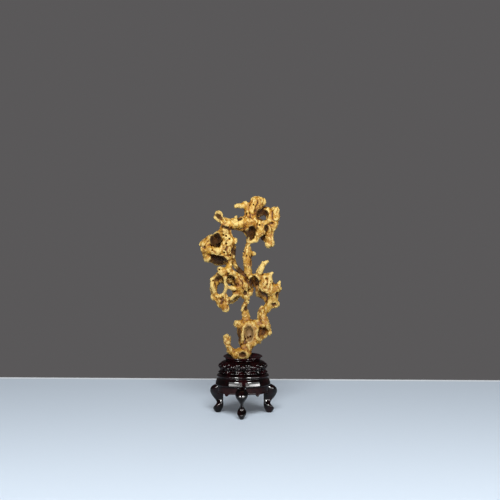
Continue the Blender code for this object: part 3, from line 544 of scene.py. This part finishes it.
stoneShape = {
    "offset": -0.8,  # to the side of the stand's axis
    "gridStep": 1.05,
    "mostTriangles": 190000,
    "margin": 4.0,
    "blend": 3.0,
    "hollowEdge": 1.2,
    "bendByHeight": 9.0,
    "bendStartHeight": 120.0,
    "bendPeriodHeight": 330.0,
    "bendByWidth": 7.0,
    "bendPeriodWidth": 190.0,
    "soleHeight": 113.5,
    "bandDepth": 5.0,
    # where painted shade, soil stain, wall colour and tints fade: shares of a radius, or mm from the wall
    "shadeFade": (0.55, 1.0),
    "stainAndShadeDepths": (-0.55, 0.35),
    "paleDepths": (-0.9, -0.2),
    "wallReach": (0.5, 3.5),
    "tintFade": (0.4, 1.0),
    "swell": (1.8, 15.0),  # height and size of the soft unevenness
    "cups": ((1.7, 13.0), (0.8, 6.5)),  # depth and size of the weathered cups
    "cupLevel": 0.55,
    "cupWarp": (1.4, 0.35),  # size and reach of the warp, as shares of a cup's size
    "creases": ((2.0, 14.0, 0.16), (1.1, 8.0, 0.17)),  # depth, spacing and width of the creases
    "creaseStretch": (1.0, 1.0, 0.6),
    "grit": ((0.5, 4.6), (0.3, 2.4)),
    "busySize": 26.0,
    "busyEdges": (-0.2, 0.25),
    "calmShare": 0.75,
    "fullGirth": 7.5,  # a thinner branch has lower relief, down to thinShare
    "thinShare": 0.4,
    "paleSmoothing": 0.85,
    "pinhole": (1.15, 2.2, 0.4),  # width and depth as shares of the radius, and how far in it starts
    "poreCount": 440,
    "poreRadius": (0.7, 1.9),
    "poreEdge": 0.6,
    "poreMargin": 2.0,
    "mostDrab": 0.3,  # no pores where the stone is smoother and more drab than this
    # mean share of stone close round a point, and how fast each mask grows past it
    "ridgeFrom": (0.52, 4.0),
    "dipFrom": (0.48, 3.0),
    "caveFrom": (0.40, 2.2),
    "ridgeReach": 3,
    "hollowReach": 6,
    "seed": 7,
}


def bent(x, y, z):
    # the stone leans back by a sine over its height and one over its width
    s = stoneShape
    byHeight = s["bendByHeight"] * np.sin(2 * np.pi * (z - s["bendStartHeight"]) / s["bendPeriodHeight"])
    byWidth = s["bendByWidth"] * np.sin(2 * np.pi * x / s["bendPeriodWidth"])
    return np.array([x + s["offset"], y + (byHeight + byWidth), z], float)


noiseTable = {
    "repeat": 32,  # lattice cells after which the random values come again
    "shape": (32, 32, 32, 3),
    "gain": 1.6,
}


def latticeCells(points, size):
    # the lattice cell that each point is in, and where it is in that cell, from 0 to 1
    q = points / size
    cell = np.floor(q).astype(int)
    return cell, (q - cell).astype(np.float32)


def latticeNoise(points, size, seed):
    # gradient noise: random directions at the corners of a lattice, dotted with the offset from
    # each corner and blended by 6t^5 - 15t^4 + 10t^3, then brought to about -1 to 1
    table = np.random.default_rng(seed).normal(size=noiseTable["shape"]).astype(np.float32)
    table /= np.linalg.norm(table, axis=3, keepdims=True)
    cell, t = latticeCells(points, size)
    w = t * t * t * (t * (6 * t - 15) + 10)
    total = np.zeros(len(points), np.float32)
    for corner in np.ndindex(2, 2, 2):
        direction = table[tuple(((cell + corner) % noiseTable["repeat"]).T)]
        weight = np.prod(np.where(np.array(corner) == 1, w, 1 - w), axis=1)
        total += weight * np.sum(direction * (t - np.array(corner, np.float32)), axis=1)
    return noiseTable["gain"] * total


def cupNoise(points, size, seed):
    # one random middle in each lattice cell; 1 - d² from the nearest middle, so that cups meet in ridges
    table = np.random.default_rng(seed).random(noiseTable["shape"]).astype(np.float32)
    cell, t = latticeCells(points, size)
    nearest = np.full(len(points), np.inf, np.float32)
    for corner in np.ndindex(3, 3, 3):
        offset = np.array(corner) - 1
        away = table[tuple(((cell + offset) % noiseTable["repeat"]).T)] + offset.astype(np.float32) - t
        nearest = np.minimum(nearest, np.sum(away * away, axis=1))
    return np.clip(1 - nearest, 0, 1)


def roundConeDistance(p, a, b, ra, rb):
    # distance to two balls and the cone that touches both
    along = b - a
    length2 = along @ along
    dr = ra - rb
    slant = length2 - dr * dr
    if slant <= 1e-6:
        return np.linalg.norm(p - (a if ra > rb else b), axis=-1) - max(ra, rb)
    pa = p - a
    y = pa @ along
    z = y - length2
    across = pa * length2 - along * y[..., None]
    x2 = np.sum(across * across, axis=-1)
    y2, z2 = y * y * length2, z * z * length2
    k = np.sign(dr) * dr * dr * x2
    side = (np.sqrt(x2 * slant / length2) + y * dr) / length2 - ra
    pastB = np.sqrt(x2 + z2) / length2 - rb
    pastA = np.sqrt(x2 + y2) / length2 - ra
    return np.where(np.sign(z) * slant * z2 > k, pastB, np.where(np.sign(y) * slant * y2 < k, pastA, side))


def ellipsoidDistance(p, middle, radii, turn):
    # near enough to the distance to an ellipsoid turned about the y axis: k0 (k0 - 1) / k1
    angle = math.radians(turn)
    q = p - middle
    x = q[..., 0] * math.cos(angle) - q[..., 2] * math.sin(angle)
    z = q[..., 0] * math.sin(angle) + q[..., 2] * math.cos(angle)
    q = np.stack([x, q[..., 1], z], axis=-1)
    k0 = np.linalg.norm(q / radii, axis=-1)
    k1 = np.linalg.norm(q / np.square(radii), axis=-1)
    return k0 * (k0 - 1) / np.maximum(k1, 1e-6)


def softMin(a, b, k):
    # the smaller of two distances, rounded over where they differ by less than k
    h = np.maximum(k - np.abs(a - b), 0) / k
    return np.minimum(a, b) - h * h * k / 4


class Grid:
    # a box of evenly spaced points and the distances held at them
    farAway = 30.0

    def __init__(self, low, high, step):
        self.low, self.step = np.array(low, float), step
        self.count = np.ceil((np.array(high) - low) / step).astype(int) + 1
        self.field = np.full(self.count, self.farAway, np.float32)

    def block(self, low, high):
        # the slices of the grid that a box covers, and the points in it
        first = np.clip(np.floor((low - self.low) / self.step).astype(int), 0, self.count)
        last = np.clip(np.ceil((high - self.low) / self.step).astype(int) + 1, 0, self.count)
        axes = [self.low[d] + np.arange(first[d], last[d]) * self.step for d in range(3)]
        points = np.stack(np.meshgrid(*axes, indexing="ij"), axis=-1)
        return tuple(slice(a, b) for a, b in zip(first, last)), points

    def carve(self, part, distance, edge):
        # the shape at that distance taken away, with its edge rounded
        self.field[part] = -softMin(-self.field[part], distance, edge)

    def sample(self, values, points):
        # values between grid points, blended along each axis
        q = (points - self.low) / self.step
        cell = np.clip(np.floor(q).astype(int), 0, self.count - 2)
        t = q - cell
        total = np.zeros(len(points))
        for corner in np.ndindex(2, 2, 2):
            weight = np.prod(np.where(np.array(corner) == 1, t, 1 - t), axis=1)
            total += weight * values[tuple((cell + corner).T)]
        return total


def meanRound(values, reach):
    # mean over a cube of 2 reach + 1 points, by running sums along each axis, and the same once more
    width = 2 * reach + 1
    for axis in (0, 1, 2, 0, 1, 2):
        pad = [(0, 0)] * 3
        pad[axis] = (reach + 1, reach)
        total = np.cumsum(np.pad(values, pad, mode="edge"), axis=axis, dtype=np.float64)
        count = total.shape[axis]
        upper = np.take(total, np.arange(width, count), axis=axis)
        lower = np.take(total, np.arange(count - width), axis=axis)
        values = ((upper - lower) / width).astype(np.float32)
    return values


def fadedShare(points, middle, radii, fade):
    # 1 round the middle of a place, 0 at its edge; fade says where it falls, in shares of the radii
    return 1 - smoothStep(*fade, np.linalg.norm((points - middle) / radii, axis=-1))


def fuseBranches(grid):
    # branches fused into one skin; returns how thick the nearest branch is, on the grid
    s = stoneShape
    reach = s["blend"] + s["bandDepth"]
    girth = np.full(grid.count, s["fullGirth"], np.float32)
    for chain in stoneBranches.values():
        balls = np.array([[*bent(*ball[:3]), ball[3]] for ball in chain])
        low = (balls[:, :3] - balls[:, 3:]).min(axis=0) - reach
        high = (balls[:, :3] + balls[:, 3:]).max(axis=0) + reach
        part, p = grid.block(low, high)
        distance = np.full(p.shape[:3], grid.farAway)
        for a, b in zip(balls, balls[1:]):
            distance = np.minimum(distance, roundConeDistance(p, a[:3], b[:3], a[3], b[3]))
        girth[part] = np.where(distance < grid.field[part], balls[:, 3].mean(), girth[part])
        grid.field[part] = softMin(grid.field[part], distance, s["blend"])
    return girth


def hollowStone(grid):
    # the hollows cut out of the skin; returns the painted shade and soil stain, and how drab the walls are,
    # on the grid
    s = stoneShape
    stainAndShade, drab = np.zeros(grid.count, np.float32), np.zeros(grid.count, np.float32)
    # painted shade on back walls, struts and undersides, fading to each place's edge
    for middle, radii, dark in stonePaintedShade.values():
        middle, radii = bent(*middle), np.array(radii, float)
        part, p = grid.block(middle - radii, middle + radii)
        stainAndShade[part] = np.maximum(stainAndShade[part], dark * fadedShare(p, middle, radii, s["shadeFade"]))
    for middle, radii, turn, dark in stoneHollows.values():
        middle = bent(*middle)
        size = max(radii) + s["blend"] + s["bandDepth"]
        part, p = grid.block(middle - size, middle + size)
        distance = ellipsoidDistance(p, middle, np.array(radii, float), turn)
        grid.carve(part, distance, s["hollowEdge"])
        # the painted shade, with some soil stain, deepens from the mouth, at the middle's depth less its
        # radius, to the far end
        depth = (p[..., 1] - middle[1]) / radii[1]
        near = 1 - smoothStep(*s["wallReach"], distance)
        if dark > 0:
            stainAndShade[part] = np.maximum(stainAndShade[part], dark * smoothStep(*s["stainAndShadeDepths"], depth) * near)
        else:
            drab[part] = np.maximum(drab[part], -dark * near * smoothStep(*s["paleDepths"], depth))
    return stainAndShade, drab


def tintShare(points):
    # how much paler or rustier the stone is at each point, fading to the edge of each place
    total = np.zeros(len(points))
    for middle, radii, amount in stoneTints.values():
        total += amount * fadedShare(points, bent(*middle), radii, stoneShape["tintFade"])
    return total


def busyShare(points):
    # 1 where the skin is closely worked, down to calmShare where it is smooth, in broad patches
    s = stoneShape
    broad = latticeNoise(points, s["busySize"], s["seed"] + 60)
    return s["calmShare"] + (1 - s["calmShare"]) * smoothStep(*s["busyEdges"], broad)


def weatherStone(grid, girth, drab):
    # soft swells, cups that meet in ridges, winding creases and grit, in the band of points near the
    # skin; a crease runs where its noise crosses zero, and its depth falls off as 1 - |noise| / width
    s = stoneShape
    seed = s["seed"]
    index = np.nonzero(np.abs(grid.field) < s["bandDepth"])
    points = grid.low + np.stack(index, axis=1) * grid.step
    raised = np.zeros(len(points), np.float32)
    warpSize, warpReach = s["cupWarp"]
    for number, (depth, size) in enumerate(s["cups"]):
        warpSeed = seed + 20 + 3 * number
        warp = np.stack([latticeNoise(points, size * warpSize, warpSeed + d) for d in range(3)], axis=1)
        cups = cupNoise(points + warpReach * size * warp, size, seed + 1 + number)
        raised -= depth * (cups - s["cupLevel"])
    for number, (height, size) in enumerate(s["grit"]):
        raised += height * latticeNoise(points, size, seed + 10 + number)
    for number, (depth, size, width) in enumerate(s["creases"]):
        creased = latticeNoise(points * s["creaseStretch"], size, seed + 40 + number)
        raised -= depth * np.clip(1 - np.abs(creased) / width, 0, 1)
    height, size = s["swell"]
    raised = raised * busyShare(points) + height * latticeNoise(points, size, seed)
    thinning = np.clip(girth[index] / s["fullGirth"], s["thinShare"], 1.0)
    raised *= thinning * (1 - s["paleSmoothing"] * drab[index])
    grid.field[index] -= raised.astype(np.float32)


def pierceStone(grid, drab):
    # pinholes on the front where they are listed, and pores scattered over the whole skin
    s = stoneShape
    random = np.random.default_rng(s["seed"] + 50)
    widen, deepen, inset = s["pinhole"]
    holes = []
    for x, z, radius in stonePinholes:
        x += s["offset"]
        i, k = np.round((np.array([x, z]) - grid.low[[0, 2]]) / grid.step).astype(int)
        solid = np.nonzero(grid.field[i, :, k] < 0)[0]
        if len(solid):
            holes.append((x, grid.low[1] + solid[0] * grid.step + inset, z, radius * widen, deepen))
    skin = np.argwhere((np.abs(grid.field) < 0.5 * grid.step) & (drab < s["mostDrab"]))
    places = grid.low + skin[random.integers(0, len(skin), s["poreCount"])] * grid.step
    small, large = s["poreRadius"]  # most pores are small, by the cube of an even draw
    sizes = small + (large - small) * random.random(s["poreCount"]) ** 3
    holes += [(*place, size, 1.0) for place, size in zip(places, sizes)]
    for x, y, z, radius, depth in holes:
        middle = np.array([x, y, z])
        size = np.array([radius, radius * depth, radius])
        part, p = grid.block(middle - size - s["poreMargin"], middle + size + s["poreMargin"])
        grid.carve(part, ellipsoidDistance(p, middle, size, 0), s["poreEdge"])


def surfaceNet(grid):
    # one point in each cell that the skin passes through, at the mean of its crossings with the
    # cell's edges, and one quad round each grid edge that it crosses
    field, count = grid.field, grid.count
    inside = field < 0
    total = np.zeros((*(count - 1), 3), np.float32)
    hits = np.zeros(count - 1, np.float32)
    crossings = []
    for axis in range(3):
        low, high = [slice(None)] * 3, [slice(None)] * 3
        low[axis], high[axis] = slice(0, -1), slice(1, None)
        a, b = field[tuple(low)], field[tuple(high)]
        crossed = inside[tuple(low)] != inside[tuple(high)]
        share = np.where(crossed, a / np.where(crossed, a - b, 1), 0)
        crossings.append((crossed, inside[tuple(low)]))
        first, second = [d for d in range(3) if d != axis]
        for stepFirst, stepSecond in np.ndindex(2, 2):
            part = [slice(None)] * 3
            part[first] = slice(stepFirst, count[first] - 1 + stepFirst)
            part[second] = slice(stepSecond, count[second] - 1 + stepSecond)
            here = crossed[tuple(part)]
            hits += here
            total[..., axis] += share[tuple(part)]
            total[..., first] += here * stepFirst
            total[..., second] += here * stepSecond
    active = hits > 0
    number = np.full(active.shape, -1)
    number[active] = np.arange(active.sum())
    cells = np.argwhere(active)
    points = grid.low + (cells + total[active] / hits[active][:, None]) * grid.step
    quads = []
    for axis, (crossed, lowInside) in enumerate(crossings):
        first, second = [d for d in range(3) if d != axis]
        edge = np.argwhere(crossed)
        inner = (edge[:, first] > 0) & (edge[:, second] > 0)
        inner &= (edge[:, first] < count[first] - 1) & (edge[:, second] < count[second] - 1)
        edge = edge[inner]
        corners = []
        for backFirst, backSecond in ((1, 1), (0, 1), (0, 0), (1, 0)):
            c = edge.copy()
            c[:, first] -= backFirst
            c[:, second] -= backSecond
            corners.append(number[c[:, 0], c[:, 1], c[:, 2]])
        quad = np.stack(corners, axis=1)
        outward = lowInside[edge[:, 0], edge[:, 1], edge[:, 2]] ^ (axis == 1)
        quads.append(np.where(outward[:, None], quad, quad[:, ::-1]))
    return points, np.concatenate(quads)


def buildStone():
    s = stoneShape
    low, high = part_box("rock")
    low = np.array([low.x / mm - axisX, low.y / mm - axisY, s["soleHeight"]]) - s["margin"]
    high = np.array([high.x / mm - axisX, high.y / mm - axisY, high.z / mm]) + s["margin"]
    grid = Grid(low, high, s["gridStep"])
    girth = fuseBranches(grid)
    stainAndShade, drab = hollowStone(grid)
    weatherStone(grid, girth, drab)
    pierceStone(grid, drab)
    heights = grid.low[2] + np.arange(grid.count[2]) * grid.step
    grid.field = np.maximum(grid.field, (s["soleHeight"] - heights)[None, None, :]).astype(np.float32)
    points, quads = surfaceNet(grid)
    print("stone:", len(points), "points,", 2 * len(quads), "triangles")
    # how much stone there is close round a point: under half on a ridge, over half in a dip
    filled = np.clip(0.5 - grid.field / grid.step, 0, 1)
    close = grid.sample(meanRound(filled, s["ridgeReach"]), points)
    wide = grid.sample(meanRound(filled, s["hollowReach"]), points)
    (ridge, ridgeGain), (dip, dipGain), (cave, caveGain) = s["ridgeFrom"], s["dipFrom"], s["caveFrom"]
    tint = tintShare(points)
    # ridge feeds the painted highlight in cream, hollow the painted shade in rust and umber
    values = {
        "ridge": np.clip((ridge - close) * ridgeGain + tint, 0, 1),
        "hollow": np.clip((close - dip) * dipGain + (wide - cave) * caveGain - tint, 0, 1),
        "stainAndShade": np.clip(grid.sample(stainAndShade, points), 0, 1),
        "drab": np.clip(grid.sample(drab, points), 0, 1),
        "busy": busyShare(points),
    }
    piece = newPiece("scholars_rock", points, quads.tolist(), stone, "rock")
    for name, value in values.items():
        attribute = piece.data.attributes.new(name, "FLOAT", "POINT")
        attribute.data.foreach_set("value", value.astype(np.float32))
    thin = piece.modifiers.new("thin", "DECIMATE")
    thin.ratio = min(1.0, s["mostTriangles"] / (2 * len(quads)))


buildStone()

dish = {
    # distance from the axis, height, share of the rim's sway; from the foot round the rim to the floor
    "profile": [
        (31.5, 109.3, 0), (33.6, 109.5, 0), (34.6, 110.3, 0.05), (34.5, 111.1, 0.08),
        (33.8, 111.7, 0.12), (34.6, 112.5, 0.3), (37, 114.2, 0.6), (38.6, 116.3, 0.9), (38.8, 117.5, 1),
        (38.1, 118.4, 1), (36.7, 118.4, 1), (34.8, 117.5, 0.85), (31.5, 115.6, 0.5), (27.5, 113.8, 0.15),
        (25, 113.2, 0),
    ],
    "sway": 2.7,
    "rings": 90,
    "around": 240,
    "lobes": 10,
    "lobeDepth": 0.35,
}


def buildDish():
    # a turned bowl; its rim rises at the back and sinks at the front by a sine, with faint lobes
    azimuth, radius, height, share = turnedGrid(dish)
    lobed = radius + dish["lobeDepth"] * share * np.cos(np.radians(azimuth * dish["lobes"]))
    swayed = height + dish["sway"] * share * np.sin(np.radians(azimuth))
    rings = turnedRings(lobed, azimuth, swayed)
    closedSurface("dish", rings, wineLacquer, "stand_dish")


buildDish()

band = {
    # distance from the axis and height
    "profile": [
        (44.6, 84.5), (46.6, 84.9), (47.4, 86.2), (46.4, 87.8), (44.4, 89.6), (43.4, 91.6), (43.9, 94.2),
        (44.6, 97), (44.4, 100.5), (43.2, 104), (41.2, 107), (38.8, 108.6), (37, 109),
    ],
    "rings": 110,
    "around": 720,
    # rows of lobes: first azimuth, count, height, half width, half height, how far they stand out, and
    # the pitch of their scroll, or 0 for none
    "rows": [
        (0, 12, 98.6, 7.4, 6.6, 4.6, 3.9),
        (15, 12, 92.8, 7, 5.6, 3.2, 3.9),
        (0, 12, 87.4, 6.4, 3.2, 2.2, 0),
        (15, 12, 103.6, 5.8, 3.8, 2.2, 0),
    ],
    "bowl": 46.0,  # how far out widths are measured
    "scrollDepth": 0.10,
    "scrollStart": (0.6, 1.6),  # mm from a lobe's middle
    "scrollEdge": (0.0, 0.25),  # 1 - d² at a lobe's edge
}


def bandRelief(azimuth, height):
    # each lobe is a cushion, its height times the root of 1 - d², and a spiral groove winds into it;
    # where lobes overlap the taller one wins
    relief = np.zeros(np.broadcast(azimuth, height).shape)
    for first, count, middle, halfWidth, halfHeight, tall, pitch in band["rows"]:
        spacing = 360.0 / count
        turn = (azimuth - first + spacing / 2) % spacing - spacing / 2
        side = np.where(np.round((azimuth - first) / spacing) % 2 == 0, 1.0, -1.0)
        u = np.radians(turn) * band["bowl"]
        v = height - middle
        inward = 1 - (u / halfWidth) ** 2 - (v / halfHeight) ** 2
        cushion = tall * np.sqrt(np.clip(inward, 0, 1))
        if pitch:
            reach = np.hypot(u, v)
            phase = 2 * np.pi * reach / pitch - np.arctan2(v, side * u)
            faded = smoothStep(*band["scrollStart"], reach) * smoothStep(*band["scrollEdge"], inward)
            cushion = cushion - band["scrollDepth"] * (0.5 + 0.5 * np.cos(phase)) * faded
        relief = np.maximum(relief, cushion)
    return relief


def buildBand():
    # a turned ring with rows of scrolled cloud lobes standing out of it
    azimuth, radius, height = turnedGrid(band)
    rings = turnedRings(radius + bandRelief(azimuth, height), azimuth, height)
    closedSurface("carved_band", rings, carvedLacquer, "stand_band")


buildBand()

legAzimuths = {"front": 268.0, "right": 28.0, "left": 148.0}

shoulder = {
    # distance from the axis and height
    "profile": [
        (46, 60.5), (52.8, 60.5), (54.6, 61), (54.95, 62.4), (54.5, 65.2), (54.02, 67.9), (53.42, 70.6),
        (53.1, 71.4), (52.3, 72.4), (51.2, 73.6), (50.4, 74.8), (50.1, 75.7), (50.7, 76.6), (51.8, 77.6),
        (52.1, 79), (51.8, 80.6), (50.8, 82), (49, 83), (47.8, 83.6), (46.6, 84.2),
    ],
    "rings": 120,
    "around": 480,
    "crestHeight": 0.35,
    "crestWidth": 4.6,  # degrees
    "crestPower": 1.6,
    "crestFoot": (60.5, 62.5),
    "crestTop": (72.0, 77.0),
}


def buildShoulder():
    # a turned bell under a bead; over each leg a crest stands out by a bell curve across the azimuth
    azimuth, radius, height = turnedGrid(shoulder)
    crest = smoothStep(*shoulder["crestFoot"], height) * (1 - smoothStep(*shoulder["crestTop"], height))
    turns = [(azimuth - middle + 180) % 360 - 180 for middle in legAzimuths.values()]
    across = sum(np.exp(-np.abs(turn / shoulder["crestWidth"]) ** shoulder["crestPower"]) for turn in turns)
    rings = turnedRings(radius + shoulder["crestHeight"] * crest * across, azimuth, height)
    closedSurface("shoulder", rings, blackLacquer, "stand_body")


buildShoulder()

leg = {
    # height, inner and outer distance from the axis, half width
    "profile": [
        (0, 57, 64.5, 3.2), (1.2, 54.6, 66.2, 3.8), (4, 52.2, 69.2, 5.2), (7.5, 50.4, 70.8, 7.5),
        (10.5, 49.4, 69.6, 8.8), (13.5, 48.9, 66.6, 9.1), (17.5, 48.2, 62.8, 7.6), (21.5, 48, 62.6, 5.3),
        (25, 47.6, 65.4, 3.7), (28, 47.4, 68.6, 3.2), (31.5, 47.4, 72.2, 4), (35.5, 47.5, 75.2, 6),
        (39, 47.4, 76.8, 8.5), (42.5, 47.1, 77.3, 10.8), (46, 46.8, 76.8, 12.2),
        (49.5, 46.6, 75.4, 12.5), (53, 46.4, 72.6, 11.7), (56.5, 46.2, 67.6, 9.6), (59, 46.1, 61.6, 7),
        (60.2, 46, 57.5, 5.2),
    ],
    "rings": 130,
    "around": 72,
    "petals": 5,
    "petalShare": 0.8 / 7,  # depth of the creases between petals, to the foot's radius
    "petalFoot": (0.0, 3.0),
    "petalTop": (11.0, 17.0),
    "grooveHeight": 57.0,  # of the line over the knee, at the leg's sides
    "grooveRise": 3.5,
    "grooveDepth": 0.5,
    "grooveWidth": 0.9,
    "grooveEnds": (-0.2, 0.5),  # cosines of the angle round the leg
}


def buildLeg(name, azimuth, node):
    # level oval sections along an S; the foot is a bud with petals, the knee a ball under a fine groove
    phi, height, inner, outer, half = turnedGrid(leg)
    phi = np.radians(phi)
    petal = (1 - np.abs(np.cos(leg["petals"] * phi / 2))) * smoothStep(*leg["petalFoot"], height)
    swell = 1 - leg["petalShare"] * petal * (1 - smoothStep(*leg["petalTop"], height))
    fromGroove = height - leg["grooveHeight"] - leg["grooveRise"] * np.cos(phi)
    groove = leg["grooveDepth"] * np.exp(-((fromGroove / leg["grooveWidth"]) ** 2))
    groove = groove * smoothStep(*leg["grooveEnds"], np.cos(phi))
    radial = (inner + outer) / 2 + ((outer - inner) / 2 * swell - groove) * np.cos(phi)
    across = (half * swell - groove / 2) * np.sin(phi)
    a = math.radians(azimuth)
    x = radial * math.cos(a) - across * math.sin(a)
    y = radial * math.sin(a) + across * math.cos(a)
    rings = np.stack([x, y, np.broadcast_to(height, x.shape)], axis=-1)
    closedSurface(name, rings, blackLacquer, node)


for side, azimuth in legAzimuths.items():
    buildLeg("leg_" + side, azimuth, "stand_leg_" + side)

apron = {
    "startLegs": {"right": "front", "rear": "right", "left": "left"},  # each runs anticlockwise from one
    "span": 120.0,  # degrees from leg to leg
    "clearance": 9.6,  # degrees from a leg to the panel's end
    "steps": 160,
    "inner": 47.6,
    "outer": 51.2,
    "bottom": 45.6,
    "top": 60.2,
    "pendant": 4.0,
    "pendantWidth": 4.7,  # degrees
    "pendantTurn": 38.0,
    "pendantPower": 0.8,
    "scallop": 0.6,
    "scallopsPerTurn": 9,
    # heights over the lower edge up the outer wall, and the bead that runs along them
    "outerHeights": (0.0, 0.25, 0.6, 1.2, 1.8, 2.4, 4.0, 8.0),
    "bead": 0.35,
    "beadHeight": 1.2,
    "beadWidth": 0.8,
    "round": 0.7,
    "topEdge": 0.3,
    "innerEdge": 0.4,
    "sharpFrom": 50.0,
}


def buildApron(name, legAzimuth, node):
    # a thin curved panel; its lower edge drops in a pendant near each end, and a bead runs along it
    a = apron
    turn = np.linspace(a["clearance"], a["span"] - a["clearance"], a["steps"])
    nearest = np.abs(np.minimum(turn, a["span"] - turn) - a["pendantTurn"])
    drop = a["pendant"] * np.clip(1 - (nearest / a["pendantWidth"]) ** 2, 0, 1) ** a["pendantPower"]
    scallop = 0.5 * (1 - np.cos(np.radians(nearest * a["scallopsPerTurn"]))) * (nearest > a["pendantWidth"])
    bottom = (a["bottom"] - drop + a["scallop"] * scallop)[:, None]
    # section: up the outer wall, over the top and down the inner wall
    v = np.array(a["outerHeights"])
    bead = a["bead"] * np.exp(-(((v - a["beadHeight"]) / a["beadWidth"]) ** 2))
    bead -= a["round"] * (1 - np.clip(v / a["round"], 0, 1)) ** 2
    radii = np.array([*(a["outer"] + bead), a["outer"], a["inner"], a["inner"]])
    top = np.full_like(bottom, a["top"])
    outerHeights = np.minimum(bottom + v, a["top"] - a["topEdge"])
    heights = np.concatenate([outerHeights, top, top, bottom + a["innerEdge"]], axis=1)
    rings = turnedRings(radii, (legAzimuth + turn)[:, None], heights)
    piece = closedSurface(name, rings[:, ::-1], apronWood, node)
    piece.data.set_sharp_from_angle(angle=math.radians(a["sharpFrom"]))


for side, startLeg in apron["startLegs"].items():
    buildApron("apron_" + side, legAzimuths[startLeg], "stand_apron_" + side)
print("stand made")

studio = {
    "floorColour": (0.61, 0.70, 0.80),
    "floorRoughness": 0.8,
    "floorSpecular": 0.1,
    "floorSide": 2600.0,
    "floorFront": 770.0,
    "floorBehind": 570.0,
    "floorSlant": -0.048,  # the far edge runs back a little to the left
    # a painted highlight along the far edge of the floor
    "rimWidth": 26.0,
    "rimFade": 3.0,
    "rimColour": (0.86, 0.92, 0.97),
    "wallGrey": (0.102, 0.098, 0.1),
    "cameraDistance": 2361.0,
    "cameraHeight": 370.0,
    "aimHeight": 330.0,
    "aimRight": 14.2,
    "lens": 85.0,
    "filmWidth": 36.0,
    "farthest": 30000.0,
    "lightAimHeight": 220.0,
    # azimuth to the right of the camera and elevation in degrees, distance, width and height in mm,
    # power, and whether it lights what is matt and shows in what is glossy
    "softboxes": {
        "key": (1.5, 31, 3800, 1750, 1290, 200, True, False),
        "left low": (-31.8, 4.6, 1600, 1780, 72, 10.4, False, True),
        "left high": (-31.8, 12, 1600, 1780, 300, 10.1, False, True),
        "right low": (44.5, 3.9, 1600, 1890, 120, 28.5, False, True),
        "right high": (44.5, 11.3, 1600, 1890, 300, 8.9, False, True),
        "left spark": (-29, 21, 1600, 390, 390, 57, False, True),
        "right spark": (29, 21, 1600, 390, 390, 57, False, True),
        "back": (178, 7, 2600, 1800, 800, 20, True, False),
    },
}


def worldPlace(x, y, z):
    return Vector(((axisX + x) * mm, (axisY + y) * mm, z * mm))


def putAt(name, data, place, target=None):
    # an object in the scene at a place, turned to look at the target where there is one
    obj = bpy.data.objects.new(name, data)
    bpy.context.scene.collection.objects.link(obj)
    obj.location = place
    if target:
        obj.rotation_euler = (target - place).to_track_quat("-Z", "Y").to_euler()
    return obj


def floorFinish():
    # one pale colour, and a painted highlight where the slanting far edge catches light, where y less slant
    # times x is high
    material, tree, shader, place = newFinish("pale floor")
    look = studio
    split = addNode(tree, "SeparateXYZ", {0: place}).outputs
    fromEdge = mathValue(tree, "MULTIPLY_ADD", split["X"], -look["floorSlant"], split["Y"])
    edge = (axisY + look["floorBehind"] - look["floorSlant"] * axisX - look["rimWidth"]) * mm
    rim = bandFactor(tree, fromEdge, edge, edge + look["rimFade"] * mm)
    colour = mixColours(tree, rim, look["floorColour"], look["rimColour"])
    feedInput(tree, shader.inputs["Base Color"], colour)
    shader.inputs["Roughness"].default_value = look["floorRoughness"]
    shader.inputs["Specular IOR Level"].default_value = look["floorSpecular"]
    return material


def buildFloor():
    side, front, behind = studio["floorSide"], -studio["floorFront"], studio["floorBehind"]
    slant = studio["floorSlant"] * side
    corners = [(-side, front), (side, front), (side, behind + slant), (-side, behind - slant)]
    mesh = bpy.data.meshes.new("floor")
    mesh.from_pydata([worldPlace(x, y, 0) for x, y in corners], [], [(0, 1, 2, 3)])
    mesh.materials.append(floorFinish())
    putAt("floor", mesh, Vector())


def buildCamera():
    look = studio
    data = bpy.data.cameras.new("camera")
    data.lens = look["lens"]
    data.sensor_width = look["filmWidth"]
    data.clip_end = look["farthest"] * mm
    place = worldPlace(look["aimRight"], -look["cameraDistance"], look["cameraHeight"])
    target = worldPlace(look["aimRight"], 0, look["aimHeight"])
    bpy.context.scene.camera = putAt("camera", data, place, target)


def buildLights():
    target = worldPlace(0, 0, studio["lightAimHeight"])
    for name, values in studio["softboxes"].items():
        azimuth, elevation, distance, width, height, power, onMatt, onGloss = values
        a, e = math.radians(azimuth), math.radians(elevation)
        data = bpy.data.lights.new(name + " softbox", "AREA")
        data.shape = "RECTANGLE"
        data.size, data.size_y = width * mm, height * mm
        data.energy = power
        away = Vector((math.sin(a) * math.cos(e), -math.cos(a) * math.cos(e), math.sin(e)))
        light = putAt(name + " softbox", data, target + away * distance * mm, target)
        light.visible_camera = False
        light.visible_diffuse = onMatt
        light.visible_glossy = onGloss
    world = bpy.data.worlds.new("grey room")
    world.use_nodes = True
    feedInput(world.node_tree, world.node_tree.nodes["Background"].inputs["Color"], studio["wallGrey"])
    bpy.context.scene.world = world


buildFloor()
buildCamera()
buildLights()
bpy.context.scene.view_settings.view_transform = "Standard"
print("floor, camera and lights made")
